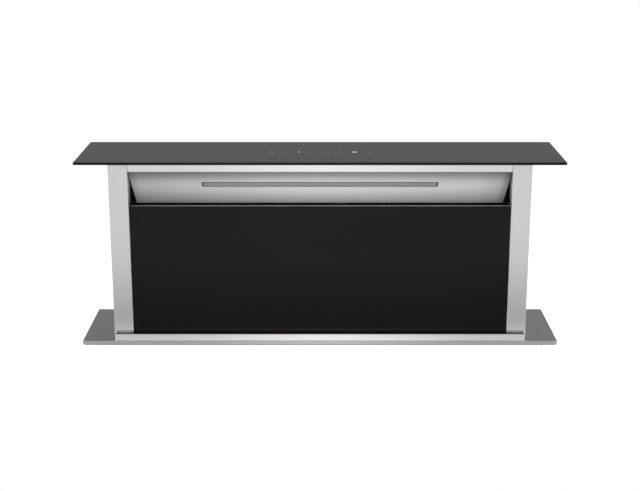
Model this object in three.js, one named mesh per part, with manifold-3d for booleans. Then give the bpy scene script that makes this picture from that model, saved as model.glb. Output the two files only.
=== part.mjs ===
// Retractable downdraft vent, raised. Millimetres, +Z up, +Y to the back, +X to the right.
// The origin is on the floor under the levelling feet, in the middle of the plan.
// Housing pieces are drawn from the worktop surface (z = 0), tower pieces from the underside of
// the glass lid (z = 0), and two nested groups put both where they belong.
import * as THREE from 'three';
import { mergeVertices } from 'three/addons/utils/BufferGeometryUtils.js';
import Module from 'manifold-3d';

// ---------------------------------------------------------------- driving dimensions
const GAP = 0.3; // between pieces that touch
const PAST = 1; // how far a cutter or a joined end runs past a face
const LID = { width: 900, depth: 192.5, thickness: 5, corner: 2.5, height: 353.5 };
const OVERHANG = { tower: 61, flange: 1.5, rail: 1.5 };
const CARRIER = { sheet: 1.5, boardWidth: 236, boardDepth: 34, boardThickness: 1.2 };
const FLANGE = { width: LID.width - 2 * OVERHANG.flange, depth: 187.2, height: 8.6, sheet: 1.5 };
const PLATE = { corner: 2, sideGap: 2.5 };
const SEAL = { thickness: 1.5, width: 5, inset: 2 };
const WIPER = { thickness: 2.5, drop: 1.5, foot: 8 };

const TOWER = { width: LID.width - 2 * OVERHANG.tower, depth: 149.8, height: 578.5, inset: 9.8 };
const SHELL = { sheet: 1.2, lip: 20 };
const RAIL = { width: TOWER.width - 2 * OVERHANG.rail, height: 13.4, sheet: 1.5 };
const STILE = { width: 36, sheet: 1.5, inner: 24, outer: 20 };
const BASE = { height: 25, sheet: 2, flange: 18 };
const INTAKE = { rail: 15.3, sill: 80 };
const BAFFLE = { sheet: 1.2, drop: 83.9, run: 102.7, flange: 11 };
const LIGHT = { length: 440, width: 18, proud: 0.5, thickness: 3.5, along: 52 };
const STRIP = { thickness: 1.6, endGap: 4, sideGap: 1 };
const GLASS = { thickness: 5, height: 345, recess: 1.8, sideGap: 0.8, border: 6 };
const PANEL = { sheet: 1.2, hookSheet: 1.5, hookHeight: 24, hookLength: 11, hookSet: 4.5, hookOver: 6 };
const PEG = { radius: 2.5, length: 6.5, setBack: 13.3, upper: 40, lower: 60 };
const FILTER = { length: 205, thickness: 9, angle: 55, centre: -2, below: 201.5, split: 1.5 };
const FRAME = { rim: 12, recess: 2, sideGap: 1.5 };
const LEDGE = { sheet: 1.2, frontLip: 15, backLip: 3.4 };
const SHELF = { sheet: 1.2, lip: 7, lipY: 51, start: 2.5 };

const WELL = { sideGap: 23, frontGap: 0.7, backGap: 3, depth: 655, sheet: 1.2 };
const GUIDE = { width: 24, sheet: 2, depth: 10.7, mouth: 14, y: 30, top: 10 };
const GLIDE = { length: 180, head: 5.5, headWidth: 19, stem: 12, below: 45 };
const SCREW = { radius: 5, y: -30, sideSet: 11, top: 26, seat: 11 };
const NUT = { height: 25, width: 26, clearance: 0.3, wallGap: 1 };
const BEARING = { height: 18, width: 28, towerGap: 2 };
const GEARBOX = { length: 59, width: 44, height: 54, motorRadius: 18, motorLength: 90 };

const BLOWER = { width: 420, depth: 170, height: 366, sheet: 1.2, lip: 14, centre: 180 };
const SCROLL = { width: 120, least: 104, most: 150, sheet: 1.2, mouthLow: 52, start: 150, end: 450 };
const INLET = { wellRadius: 90, scrollRadius: 80 };
const IMPELLER = { radius: 95, width: 84, disc: 2.5, ring: 3 };
const BLADE = { count: 24, depth: 17, thickness: 2, pitch: 35, inset: 1 };
const MOTOR = { radius: 50, flange: 62, flangeThickness: 3, front: 12, discGap: 2, holeGap: 1 };
const SHAFT = { radius: 4, hub: 12, hubLength: 12 };
const COLLAR = { radius: 75, wall: 1.5, length: 90, flange: 84, pinAt: 14, drop: 4 };
const FLAP = { sheet: 1.2, clearance: 1.5, pin: 2, pinGap: 0.8 };
const KNUCKLE = { radius: 3.6, length: 24, gap: 10 };
const CONTROL = { width: 120, depth: 50, height: 160, sheet: 1.5, left: 240, below: 90 };
const GLAND = { radius: 9, bore: 4, length: 22, inside: 3, nut: 12, nutHeight: 6 };

const FOOT_RAIL = { width: 36, height: 21.5, sheet: 2, x: 300, front: -250, back: 70 };
const FOOT = { radius: 20, disc: 7, stud: 5, nut: 9, nutHeight: 8, nutDrop: 1, fromEnd: 25, ground: 690 };
const WORKTOP = { thickness: 38 };
const CLAMP = { sheet: 2, width: 40, height: 50, reach: 32 };
const PAD = { radius: 8, thickness: 3, fromEnd: 9, screw: 3, tail: 12.5, nut: 6, nutHeight: 3 };

// ---------------------------------------------------------------- derived planes
const liftedZ = LID.height - LID.thickness;
const frontY = -FLANGE.depth / 2 + TOWER.inset;
const backY = frontY + TOWER.depth;
const sideX = TOWER.width / 2;
const wellX = sideX + WELL.sideGap;
const wellFrontY = frontY - WELL.frontGap;
const wellBackY = backY + WELL.backGap;
const wellFaceY = wellFrontY - WELL.sheet;
const blowerBackY = wellFaceY - GAP;
const blowerFrontY = blowerBackY - BLOWER.depth;
const blowerMidY = blowerBackY - BLOWER.depth / 2;
const housingLowZ = -WELL.depth - WELL.sheet;
const fanZ = housingLowZ + BLOWER.centre;
const screwX = sideX + SCREW.sideSet;
const towerTopZ = -CARRIER.sheet - 2 * GAP;
const towerLowZ = -TOWER.height;
const stileInnerX = sideX - STILE.width;
const panelX = sideX - STILE.sheet - GAP;

// ---------------------------------------------------------------- materials
const steel = { color: 0xc4c6c8, roughness: 0.34, metalness: 1 };
const galvanised = { color: 0xa9adb0, roughness: 0.5, metalness: 0.9 };
const zinc = { color: 0xb9bcbf, roughness: 0.35, metalness: 1 };
const blackPaint = { color: 0x1c1c1e, roughness: 0.55, metalness: 0.1 };
const blackGlass = { color: 0x101113, roughness: 0.06, metalness: 0 };
const blackRubber = { color: 0x151515, roughness: 0.9, metalness: 0 };
const blackPlastic = { color: 0x202123, roughness: 0.6, metalness: 0 };
const whitePlastic = { color: 0xdedfdc, roughness: 0.5, metalness: 0 };
const aluminium = { color: 0xc9ccce, roughness: 0.42, metalness: 1 };
const opal = { color: 0xb9bab8, roughness: 0.35, metalness: 0 };
const board = { color: 0x1f4a34, roughness: 0.6, metalness: 0 };

// ---------------------------------------------------------------- solids
const wasm = await Module();
wasm.setup();

// A closed geometry becomes a solid that can be cut and joined.
function solid(geometry) {
  geometry.deleteAttribute('normal');
  geometry.deleteAttribute('uv');
  const merged = mergeVertices(geometry, 1e-4);
  return new wasm.Manifold(new wasm.Mesh({
    numProp: 3,
    vertProperties: new Float32Array(merged.attributes.position.array),
    triVerts: new Uint32Array(merged.index.array),
  }));
}

function toGeometry(body) {
  const data = body.getMesh();
  const geometry = new THREE.BufferGeometry();
  geometry.setAttribute('position', new THREE.BufferAttribute(data.vertProperties, 3));
  geometry.setIndex(new THREE.BufferAttribute(data.triVerts, 1));
  geometry.computeVertexNormals();
  return geometry;
}

const union = (first, ...others) => others.reduce((whole, next) => whole.add(next), first);
const cut = (first, ...others) => others.reduce((whole, next) => whole.subtract(next), first);

// A box from its lowest to its highest value along each axis.
function block([x0, x1], [y0, y1], [z0, z1]) {
  const geometry = new THREE.BoxGeometry(x1 - x0, y1 - y0, z1 - z0);
  geometry.translate((x0 + x1) / 2, (y0 + y1) / 2, (z0 + z1) / 2);
  return solid(geometry);
}

// Turns a length drawn along Z so that it runs along the named axis. An outline for x is drawn
// in (y, z), one for y in (x, z) and one for z in (x, y).
const turned = {
  x: new THREE.Matrix4().makeBasis(
    new THREE.Vector3(0, 1, 0), new THREE.Vector3(0, 0, 1), new THREE.Vector3(1, 0, 0)),
  y: new THREE.Matrix4().makeBasis(
    new THREE.Vector3(1, 0, 0), new THREE.Vector3(0, 0, 1), new THREE.Vector3(0, -1, 0)),
  z: new THREE.Matrix4(),
};

function prism(axis, outline, [low, high]) {
  const shape = outline instanceof THREE.Shape ? outline
    : new THREE.Shape(outline.map(([u, v]) => new THREE.Vector2(u, v)));
  const options = { depth: high - low, bevelEnabled: false, curveSegments: 6 };
  const geometry = new THREE.ExtrudeGeometry(shape, options);
  geometry.translate(0, 0, axis === 'y' ? -high : low);
  return solid(geometry.applyMatrix4(turned[axis]));
}

// A round bar along an axis; (u, v) is its centre, in the order that prism's outlines use.
function rod(axis, radius, [low, high], [u, v] = [0, 0], sides = 32) {
  const geometry = new THREE.CylinderGeometry(radius, radius, high - low, sides);
  geometry.rotateX(Math.PI / 2);
  geometry.translate(u, v, (axis === 'y' ? -1 : 1) * (low + high) / 2);
  return solid(geometry.applyMatrix4(turned[axis]));
}

function roundedRectangle(width, depth, corner) {
  const shape = new THREE.Shape();
  const x = width / 2;
  const y = depth / 2;
  shape.moveTo(-x + corner, -y);
  shape.lineTo(x - corner, -y);
  shape.absarc(x - corner, -y + corner, corner, -Math.PI / 2, 0);
  shape.absarc(x - corner, y - corner, corner, 0, Math.PI / 2);
  shape.absarc(-x + corner, y - corner, corner, Math.PI / 2, Math.PI);
  shape.absarc(-x + corner, -y + corner, corner, Math.PI, Math.PI * 1.5);
  return shape;
}

const radians = THREE.MathUtils.degToRad;

// ---------------------------------------------------------------- assembly
const vent = new THREE.Group();
const appliance = new THREE.Group();
const housing = new THREE.Group();
const tower = new THREE.Group();
const reachFront = -blowerFrontY + GAP + BLOWER.sheet;
const reachBack = LID.depth / 2;
appliance.position.set(0, (reachFront - reachBack) / 2, FOOT.ground);
tower.position.z = liftedZ;
vent.add(appliance);
appliance.add(housing, tower);

function add(group, name, body, look, position = [0, 0, 0], rotation = [0, 0, 0]) {
  const mesh = new THREE.Mesh(toGeometry(body), new THREE.MeshStandardMaterial(look));
  mesh.name = name;
  mesh.position.set(...position);
  mesh.rotation.set(...rotation);
  group.add(mesh);
}

// Left and right pieces: the drawing function gets +1 for the right side and -1 for the left.
const sides = [['left', -1], ['right', 1]];
const span = (side, near, far) => (side > 0 ? [near, far] : [-far, -near]);

// ================================================================ worktop flange
{
  const low = SEAL.thickness + GAP;
  const pocketTop = FLANGE.height - FLANGE.sheet;
  const openX = sideX + PLATE.sideGap;
  const outer = roundedRectangle(FLANGE.width, FLANGE.depth, PLATE.corner);
  const inside = roundedRectangle(
    FLANGE.width - 2 * FLANGE.sheet, FLANGE.depth - 2 * FLANGE.sheet, PLATE.corner - FLANGE.sheet);
  const flange = cut(
    prism('z', outer, [low, FLANGE.height]),
    prism('z', inside, [low - PAST, pocketTop]),
    block([-openX, openX], [wellFrontY, wellBackY], [0, FLANGE.height + PAST]));
  add(housing, 'worktop_flange', flange, steel);

  const sealX = FLANGE.width / 2 - SEAL.inset;
  const sealY = FLANGE.depth / 2 - SEAL.inset;
  const seal = cut(
    block([-sealX, sealX], [-sealY, sealY], [0, SEAL.thickness]),
    block([-sealX + SEAL.width, sealX - SEAL.width], [-sealY + SEAL.width, sealY - SEAL.width],
      [-PAST, SEAL.thickness + PAST]));
  add(housing, 'worktop_seal', seal, blackRubber);

  // The front rail stands on the flange's front edge, and the wiper closes the slot behind it.
  const railFrontY = -FLANGE.depth / 2;
  const railBackY = railFrontY + RAIL.sheet;
  const railLow = FLANGE.height + GAP;
  const railHigh = FLANGE.height + RAIL.height;
  const halfRail = RAIL.width / 2;
  add(housing, 'front_rail',
    block([-halfRail, halfRail], [railFrontY, railBackY], [railLow, railHigh]), steel);

  const wiperHigh = railHigh - WIPER.drop;
  const wiperLow = wiperHigh - WIPER.thickness;
  const footBack = railBackY + GAP + WIPER.thickness;
  const wiper = prism('x', [
    [railBackY + GAP, wiperHigh - WIPER.foot],
    [footBack, wiperHigh - WIPER.foot],
    [footBack, wiperLow],
    [frontY - GAP, wiperLow],
    [frontY - GAP, wiperHigh],
    [railBackY + GAP, wiperHigh],
  ], [-halfRail, halfRail]);
  add(housing, 'front_wiper', wiper, blackRubber);
}

// ================================================================ well under the worktop
{
  const high = FLANGE.height - FLANGE.sheet - GAP;
  const low = -WELL.depth + GAP;
  const outX = wellX + WELL.sheet;
  const front = cut(
    block([-outX, outX], [wellFaceY, wellFrontY], [low, high]),
    rod('y', INLET.wellRadius, [wellFaceY - PAST, wellFrontY + PAST], [0, fanZ], 48));
  add(housing, 'well_front', front, galvanised);
  add(housing, 'well_back',
    block([-outX, outX], [wellBackY, wellBackY + WELL.sheet], [low, high]), galvanised);
  for (const [label, side] of sides) {
    const wall = block(span(side, wellX, outX), [wellFrontY + GAP, wellBackY - GAP], [low, high]);
    add(housing, `well_side_${label}`, wall, galvanised);
  }
  add(housing, 'well_floor',
    block([-outX, outX], [wellFaceY, wellBackY + WELL.sheet], [housingLowZ, -WELL.depth]),
    galvanised);
}

// ================================================================ feet and clamps
{
  const railHigh = housingLowZ - GAP;
  const railLow = railHigh - FOOT_RAIL.height;
  const half = FOOT_RAIL.width / 2;
  const webLow = railHigh - FOOT_RAIL.sheet;
  for (const [label, side] of sides) {
    const rail = prism('y', [
      [-half, railLow],
      [-half + FOOT_RAIL.sheet, railLow],
      [-half + FOOT_RAIL.sheet, webLow],
      [half - FOOT_RAIL.sheet, webLow],
      [half - FOOT_RAIL.sheet, railLow],
      [half, railLow],
      [half, railHigh],
      [-half, railHigh],
    ], [FOOT_RAIL.front, FOOT_RAIL.back]);
    add(housing, `foot_rail_${label}`, rail, galvanised, [side * FOOT_RAIL.x, 0, 0]);

    const ends = [
      ['front', FOOT_RAIL.front + FOOT.fromEnd],
      ['rear', FOOT_RAIL.back - FOOT.fromEnd],
    ];
    for (const [end, y] of ends) {
      const studTop = FOOT.ground + webLow - GAP;
      const nutTop = studTop - FOOT.nutDrop;
      const foot = union(
        rod('z', FOOT.radius, [0, FOOT.disc], [0, 0], 32),
        rod('z', FOOT.stud, [FOOT.disc - PAST, studTop], [0, 0], 20),
        rod('z', FOOT.nut, [nutTop - FOOT.nutHeight, nutTop], [0, 0], 6));
      add(housing, `levelling_foot_${end}_${label}`, foot, zinc,
        [side * FOOT_RAIL.x, y, -FOOT.ground]);
    }
  }

  // Each clamp is bolted to the well's side; its screw presses a pad up against the worktop.
  const near = wellX + WELL.sheet + GAP;
  const padTop = -WORKTOP.thickness - GAP;
  const legLow = padTop - CLAMP.height / 2;
  for (const [label, side] of sides) {
    const clampX = side * (near + CLAMP.reach - PAD.fromEnd);
    const ledgeTop = legLow + CLAMP.sheet;
    const clamp = union(
      block(span(side, near, near + CLAMP.sheet), [-CLAMP.width / 2, CLAMP.width / 2],
        [legLow, legLow + CLAMP.height]),
      block(span(side, near, near + CLAMP.reach), [-CLAMP.width / 2, CLAMP.width / 2],
        [legLow, ledgeTop]),
      rod('z', PAD.screw, [legLow - PAD.tail, padTop - PAST], [clampX, 0], 16),
      rod('z', PAD.radius, [padTop - PAD.thickness, padTop], [clampX, 0], 24),
      rod('z', PAD.nut, [ledgeTop, ledgeTop + PAD.nutHeight], [clampX, 0], 6));
    add(housing, `worktop_clamp_${label}`, clamp, zinc);
  }
}

// ================================================================ guides and lift
{
  const wallX = wellX - GAP;
  const low = -WELL.depth + GAP;
  for (const [label, side] of sides) {
    const outline = [
      [wallX, -GUIDE.width / 2],
      [wallX, GUIDE.width / 2],
      [wallX - GUIDE.depth, GUIDE.width / 2],
      [wallX - GUIDE.depth, GUIDE.mouth / 2],
      [wallX - GUIDE.depth + GUIDE.sheet, GUIDE.mouth / 2],
      [wallX - GUIDE.depth + GUIDE.sheet, GUIDE.width / 2 - GUIDE.sheet],
      [wallX - GUIDE.sheet, GUIDE.width / 2 - GUIDE.sheet],
      [wallX - GUIDE.sheet, -GUIDE.width / 2 + GUIDE.sheet],
      [wallX - GUIDE.depth + GUIDE.sheet, -GUIDE.width / 2 + GUIDE.sheet],
      [wallX - GUIDE.depth + GUIDE.sheet, -GUIDE.mouth / 2],
      [wallX - GUIDE.depth, -GUIDE.mouth / 2],
      [wallX - GUIDE.depth, -GUIDE.width / 2],
    ].map(([x, y]) => [side * x, y]);
    add(housing, `guide_rail_${label}`, prism('z', outline, [low, -GUIDE.top]), aluminium,
      [0, GUIDE.y, 0]);

    const bearingTop = -SCREW.top;
    const bearing = cut(
      block(span(side, sideX + BEARING.towerGap, wallX), [-BEARING.width / 2, BEARING.width / 2],
        [bearingTop - BEARING.height, bearingTop]),
      rod('z', SCREW.radius + GAP, [bearingTop - BEARING.height - PAST, bearingTop + PAST],
        [side * screwX, 0], 24));
    add(housing, `screw_bearing_${label}`, bearing, blackPlastic, [0, SCREW.y, 0]);

    const boxTop = low + GEARBOX.height;
    const innerX = wallX - GEARBOX.length;
    const motor = union(
      block(span(side, innerX, wallX), [-GEARBOX.width / 2, GEARBOX.width / 2], [low, boxTop]),
      rod('x', GEARBOX.motorRadius, span(side, innerX - GEARBOX.motorLength, innerX + PAST),
        [0, low + GEARBOX.height / 2], 32));
    const seat = rod('z', SCREW.radius + GAP, [boxTop - SCREW.seat - GAP, boxTop + PAST],
      [side * screwX, 0], 24);
    add(housing, `lift_motor_${label}`, cut(motor, seat), zinc, [0, SCREW.y, 0]);

    const screw = rod('z', SCREW.radius, [boxTop - SCREW.seat, bearingTop], [0, 0], 24);
    add(housing, `lift_screw_${label}`, screw, zinc, [side * screwX, SCREW.y, 0]);

    const nut = cut(
      block(span(side, sideX + GAP, wallX - NUT.wallGap), [-NUT.width / 2, NUT.width / 2],
        [towerLowZ, towerLowZ + NUT.height]),
      rod('z', SCREW.radius + NUT.clearance, [towerLowZ - PAST, towerLowZ + NUT.height + PAST],
        [side * screwX, 0], 24));
    add(tower, `lift_nut_${label}`, nut, whitePlastic, [0, SCREW.y, 0]);

    const headX = wallX - GUIDE.sheet - 2 * GAP;
    const glideTop = -liftedZ - GLIDE.below;
    const glide = union(
      block(span(side, headX - GLIDE.head, headX), [-GLIDE.headWidth / 2, GLIDE.headWidth / 2],
        [glideTop - GLIDE.length, glideTop]),
      block(span(side, sideX + GAP, headX - PAST), [-GLIDE.stem / 2, GLIDE.stem / 2],
        [glideTop - GLIDE.length, glideTop]));
    add(tower, `glide_bar_${label}`, glide, whitePlastic, [0, GUIDE.y, 0]);
  }
}

// ================================================================ blower
{
  const halfX = BLOWER.width / 2;
  const low = housingLowZ;
  const high = low + BLOWER.height;
  const innerX = halfX - BLOWER.sheet;
  const collarZ = fanZ + (SCROLL.most + SCROLL.mouthLow) / 2 - COLLAR.drop;

  const box = cut(
    block([-halfX, halfX], [blowerFrontY, blowerBackY], [low, high]),
    block([-innerX, innerX], [blowerFrontY - PAST, blowerBackY - BLOWER.sheet],
      [low + BLOWER.sheet, high - BLOWER.sheet]),
    block([-halfX + BLOWER.lip, halfX - BLOWER.lip], [blowerFrontY - PAST, blowerBackY + PAST],
      [low + BLOWER.lip, high - BLOWER.lip]),
    rod('x', COLLAR.radius - COLLAR.wall, [-halfX - PAST, -innerX + PAST],
      [blowerMidY, collarZ], 48));
  add(housing, 'blower_box', box, galvanised);

  const coverBackY = blowerFrontY - GAP;
  add(housing, 'blower_cover',
    block([-halfX, halfX], [coverBackY - BLOWER.sheet, coverBackY], [low, high]), galvanised);

  // The inlet ring narrows from the well's hole to the scroll's hole.
  const scrollBackY = blowerMidY + SCROLL.width / 2;
  const scrollFrontY = scrollBackY - SCROLL.width;
  const ringLength = blowerBackY - scrollBackY - GAP;
  const ringProfile = [
    [INLET.scrollRadius, 0],
    [INLET.scrollRadius + SCROLL.sheet * 2, 0],
    [INLET.wellRadius + SCROLL.sheet * 2, ringLength],
    [INLET.wellRadius, ringLength],
    [INLET.scrollRadius, 0],
  ].map(([radius, y]) => new THREE.Vector2(radius, y));
  add(housing, 'inlet_ring', solid(new THREE.LatheGeometry(ringProfile, 48)), galvanised,
    [0, scrollBackY + GAP, fanZ]);

  // The scroll widens from its tongue round to the mouth, which opens at the box's left wall.
  const mouthX = -innerX + GAP;
  const steps = 36;
  const scrollOutline = (wall, endX) => {
    const points = [[endX, SCROLL.mouthLow + wall]];
    for (let step = 0; step <= steps; step += 1) {
      const share = step / steps;
      const angle = radians(SCROLL.start + share * (SCROLL.end - SCROLL.start));
      const radius = SCROLL.least + share * (SCROLL.most - SCROLL.least) - wall;
      points.push([radius * Math.cos(angle), radius * Math.sin(angle)]);
    }
    points.push([endX, SCROLL.most - wall]);
    return points;
  };
  const plateBackY = SCROLL.sheet - SCROLL.width;
  const scroll = cut(
    prism('y', scrollOutline(0, mouthX), [-SCROLL.width, 0]),
    prism('y', scrollOutline(SCROLL.sheet, mouthX - PAST), [plateBackY, -SCROLL.sheet]),
    rod('y', INLET.scrollRadius, [-SCROLL.sheet - PAST, PAST], [0, 0], 48),
    rod('y', MOTOR.radius + MOTOR.holeGap, [-SCROLL.width - PAST, plateBackY + PAST], [0, 0], 48));
  add(housing, 'scroll', scroll, galvanised, [0, scrollBackY, fanZ]);

  // The motor is bolted to the scroll's front plate and reaches back into the impeller.
  const flangeBackY = scrollFrontY - GAP;
  const discY = scrollBackY - SCROLL.width / 2;
  const bodyBackY = discY - IMPELLER.disc / 2 - MOTOR.discGap;
  const flangeFrontY = flangeBackY - MOTOR.flangeThickness;
  const hubBackY = discY + IMPELLER.disc / 2 + SHAFT.hubLength;
  const motor = union(
    rod('y', MOTOR.flange, [flangeFrontY, flangeBackY], [0, 0], 40),
    rod('y', MOTOR.radius, [flangeFrontY - MOTOR.front, bodyBackY], [0, 0], 40),
    rod('y', SHAFT.radius, [bodyBackY - PAST, hubBackY], [0, 0], 20));
  add(housing, 'blower_motor', motor, blackPaint, [0, 0, fanZ]);

  // Impeller: a cage of blades between two rings, carried by a middle disc on the motor's shaft.
  const blade = (angle) => {
    const geometry = new THREE.BoxGeometry(BLADE.depth, IMPELLER.width, BLADE.thickness);
    geometry.rotateY(radians(BLADE.pitch));
    geometry.translate(IMPELLER.radius - BLADE.depth / 2 - BLADE.inset, 0, 0);
    geometry.rotateY(angle);
    return solid(geometry);
  };
  const endRing = (y) => cut(
    rod('y', IMPELLER.radius, [y - IMPELLER.ring / 2, y + IMPELLER.ring / 2], [0, 0], 48),
    rod('y', IMPELLER.radius - BLADE.depth, [y - IMPELLER.ring, y + IMPELLER.ring], [0, 0], 48));
  const ringY = IMPELLER.width / 2 - IMPELLER.ring / 3;
  let cage = union(endRing(-ringY), endRing(ringY));
  for (let index = 0; index < BLADE.count; index += 1) {
    cage = cage.add(blade(index * 2 * Math.PI / BLADE.count));
  }
  add(housing, 'impeller_blades', cage, galvanised, [0, discY, fanZ]);

  const discRadius = IMPELLER.radius - BLADE.depth - GAP;
  const hubEnd = hubBackY - discY;
  const disc = cut(
    union(
      rod('y', discRadius, [-IMPELLER.disc / 2, IMPELLER.disc / 2], [0, 0], 48),
      rod('y', SHAFT.hub, [0, hubEnd], [0, 0], 32)),
    rod('y', SHAFT.radius + GAP, [-IMPELLER.disc, hubEnd + PAST], [0, 0], 20));
  add(housing, 'impeller_disc', disc, galvanised, [0, discY, fanZ]);

  // Duct collar with its two backdraft flaps on one upright pin. Its own origin is the pin.
  const pinX = -halfX - GAP - COLLAR.pinAt;
  const bore = COLLAR.radius - COLLAR.wall;
  const collar = cut(
    union(
      rod('x', COLLAR.radius, [COLLAR.pinAt - COLLAR.length, COLLAR.pinAt], [0, 0], 48),
      rod('x', COLLAR.flange, [COLLAR.pinAt - COLLAR.wall, COLLAR.pinAt], [0, 0], 48)),
    rod('x', bore, [COLLAR.pinAt - COLLAR.length - PAST, COLLAR.pinAt + PAST], [0, 0], 48));
  const pin = rod('z', FLAP.pin, [-COLLAR.radius, COLLAR.radius], [0, 0], 16);
  add(housing, 'duct_collar', collar.add(pin), galvanised, [pinX, blowerMidY, collarZ]);

  const flapRadius = bore - FLAP.clearance;
  for (const [label, side] of [['front', -1], ['rear', 1]]) {
    const edge = KNUCKLE.radius + FLAP.pinGap;
    const disc = rod('x', flapRadius, [-FLAP.sheet / 2, FLAP.sheet / 2], [0, 0], 48);
    const half = disc.intersect(
      block([-PAST, PAST], span(side, edge, flapRadius), [-flapRadius, flapRadius]));
    const firsts = [KNUCKLE.gap, -KNUCKLE.gap - 2 * KNUCKLE.length];
    const knuckles = firsts.flatMap((first) => {
      const z0 = side > 0 ? first : -first - KNUCKLE.length;
      const reach = [z0 + GAP, z0 + KNUCKLE.length - GAP];
      return [
        rod('z', KNUCKLE.radius, reach, [0, 0], 16),
        block([-FLAP.sheet / 2, FLAP.sheet / 2], span(side, PAST, edge + PAST), reach),
      ];
    });
    const flap = cut(union(half, ...knuckles),
      rod('z', FLAP.pin + GAP, [-flapRadius, flapRadius], [0, 0], 16));
    add(housing, `flap_${label}`, flap, aluminium, [pinX, blowerMidY, collarZ]);
  }
}

// ================================================================ control box
{
  const backFaceY = wellFaceY - GAP;
  const frontFaceY = backFaceY - CONTROL.depth;
  const high = -CONTROL.below;
  const low = high - CONTROL.height;
  const midX = CONTROL.left + CONTROL.width / 2;
  const right = CONTROL.left + CONTROL.width;
  const holeY = (backFaceY + frontFaceY) / 2;
  const box = cut(
    block([CONTROL.left, right], [frontFaceY, backFaceY], [low, high]),
    block([CONTROL.left + CONTROL.sheet, right - CONTROL.sheet],
      [frontFaceY - PAST, backFaceY - CONTROL.sheet], [low + CONTROL.sheet, high - CONTROL.sheet]),
    rod('z', GLAND.radius, [low - PAST, low + CONTROL.sheet + PAST], [midX, holeY], 24));
  add(housing, 'control_box', box, blackPlastic);
  add(housing, 'control_box_lid',
    block([CONTROL.left, right], [frontFaceY - GAP - CONTROL.sheet, frontFaceY - GAP], [low, high]),
    blackPlastic);

  const shank = GLAND.radius - GAP;
  const glandTop = CONTROL.sheet + GLAND.inside;
  const gland = cut(
    union(
      rod('z', shank, [-GLAND.length, glandTop], [0, 0], 24),
      rod('z', GLAND.nut, [-GAP - GLAND.nutHeight, -GAP], [0, 0], 6)),
    rod('z', GLAND.bore, [-GLAND.length - PAST, glandTop + PAST], [0, 0], 20));
  add(housing, 'cable_gland', gland, blackPlastic, [midX, holeY, low]);
}

// ================================================================ lid
{
  add(tower, 'glass_lid',
    prism('z', roundedRectangle(LID.width, LID.depth, LID.corner), [0, LID.thickness]), blackGlass);

  const boardX = CARRIER.boardWidth / 2;
  const boardY = CARRIER.boardDepth / 2;
  const carrier = cut(
    block([-sideX, sideX], [frontY, backY], [-GAP - CARRIER.sheet, -GAP]),
    block([-boardX - GAP, boardX + GAP], [-boardY - GAP, boardY + GAP],
      [-GAP - CARRIER.sheet - PAST, PAST]));
  add(tower, 'lid_carrier', carrier, galvanised);
  add(tower, 'touch_board',
    block([-boardX, boardX], [-boardY, boardY], [-GAP - CARRIER.boardThickness, -GAP]), board);
}

// ================================================================ tower shell
{
  const baseTop = towerLowZ + BASE.height;
  const wallLow = baseTop + GAP;
  for (const [label, side] of sides) {
    const outline = [
      [stileInnerX, frontY],
      [sideX, frontY],
      [sideX, frontY + STILE.outer],
      [sideX - STILE.sheet, frontY + STILE.outer],
      [sideX - STILE.sheet, frontY + STILE.sheet],
      [stileInnerX + STILE.sheet, frontY + STILE.sheet],
      [stileInnerX + STILE.sheet, frontY + STILE.inner],
      [stileInnerX, frontY + STILE.inner],
    ].map(([x, y]) => [side * x, y]);
    const pegs = pegHeights().map((z) => rod('x', PEG.radius,
      span(side, stileInnerX - PEG.length, stileInnerX + PAST), [frontY + PEG.setBack, z], 16));
    add(tower, `stile_${label}`, union(prism('z', outline, [wallLow, towerTopZ]), ...pegs), steel);

    const panel = block(span(side, panelX - SHELL.sheet, panelX),
      [frontY + STILE.sheet + GAP, backY - SHELL.sheet - GAP], [wallLow, towerTopZ]);
    add(tower, `tower_side_${label}`, panel, galvanised);
  }

  const lipX = panelX + GAP;
  const plate = prism('z', [
    [-lipX - SHELL.sheet, backY],
    [-lipX - SHELL.sheet, backY - SHELL.lip],
    [-lipX, backY - SHELL.lip],
    [-lipX, backY - SHELL.sheet],
    [lipX, backY - SHELL.sheet],
    [lipX, backY - SHELL.lip],
    [lipX + SHELL.sheet, backY - SHELL.lip],
    [lipX + SHELL.sheet, backY],
  ], [wallLow, towerTopZ]);
  // The shelf closes the space behind the baffle; its lip keeps the filters' upper ends.
  const shelfLow = -INTAKE.rail - BAFFLE.drop - SHELF.sheet;
  const shelfX = panelX - SHELL.sheet - GAP;
  const shelfFrontY = frontY + BAFFLE.run + SHELF.start;
  const shelf = prism('x', [
    [shelfFrontY, shelfLow],
    [SHELF.lipY, shelfLow],
    [SHELF.lipY, shelfLow - SHELF.lip],
    [SHELF.lipY + SHELF.sheet, shelfLow - SHELF.lip],
    [SHELF.lipY + SHELF.sheet, shelfLow],
    [backY - SHELL.sheet / 2, shelfLow],
    [backY - SHELL.sheet / 2, shelfLow + SHELF.sheet],
    [shelfFrontY, shelfLow + SHELF.sheet],
  ], [-shelfX, shelfX]);
  add(tower, 'tower_back', plate.add(shelf), galvanised);

  const base = cut(
    block([-sideX, sideX], [frontY, backY], [towerLowZ, baseTop]),
    block([-sideX + BASE.sheet, sideX - BASE.sheet], [frontY + BASE.sheet, backY - BASE.sheet],
      [towerLowZ + BASE.sheet, baseTop + PAST]),
    block([-sideX + BASE.flange, sideX - BASE.flange], [frontY + BASE.flange, backY - BASE.flange],
      [towerLowZ - PAST, baseTop]));
  add(tower, 'tower_base', base, galvanised);

  const railX = stileInnerX - GAP;
  const rail = prism('x', [
    [frontY, -INTAKE.rail],
    [frontY + STILE.sheet, -INTAKE.rail],
    [frontY + STILE.sheet, towerTopZ - STILE.sheet],
    [frontY + STILE.outer, towerTopZ - STILE.sheet],
    [frontY + STILE.outer, towerTopZ],
    [frontY, towerTopZ],
  ], [-railX, railX]);
  add(tower, 'top_rail', rail, steel);
}

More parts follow.
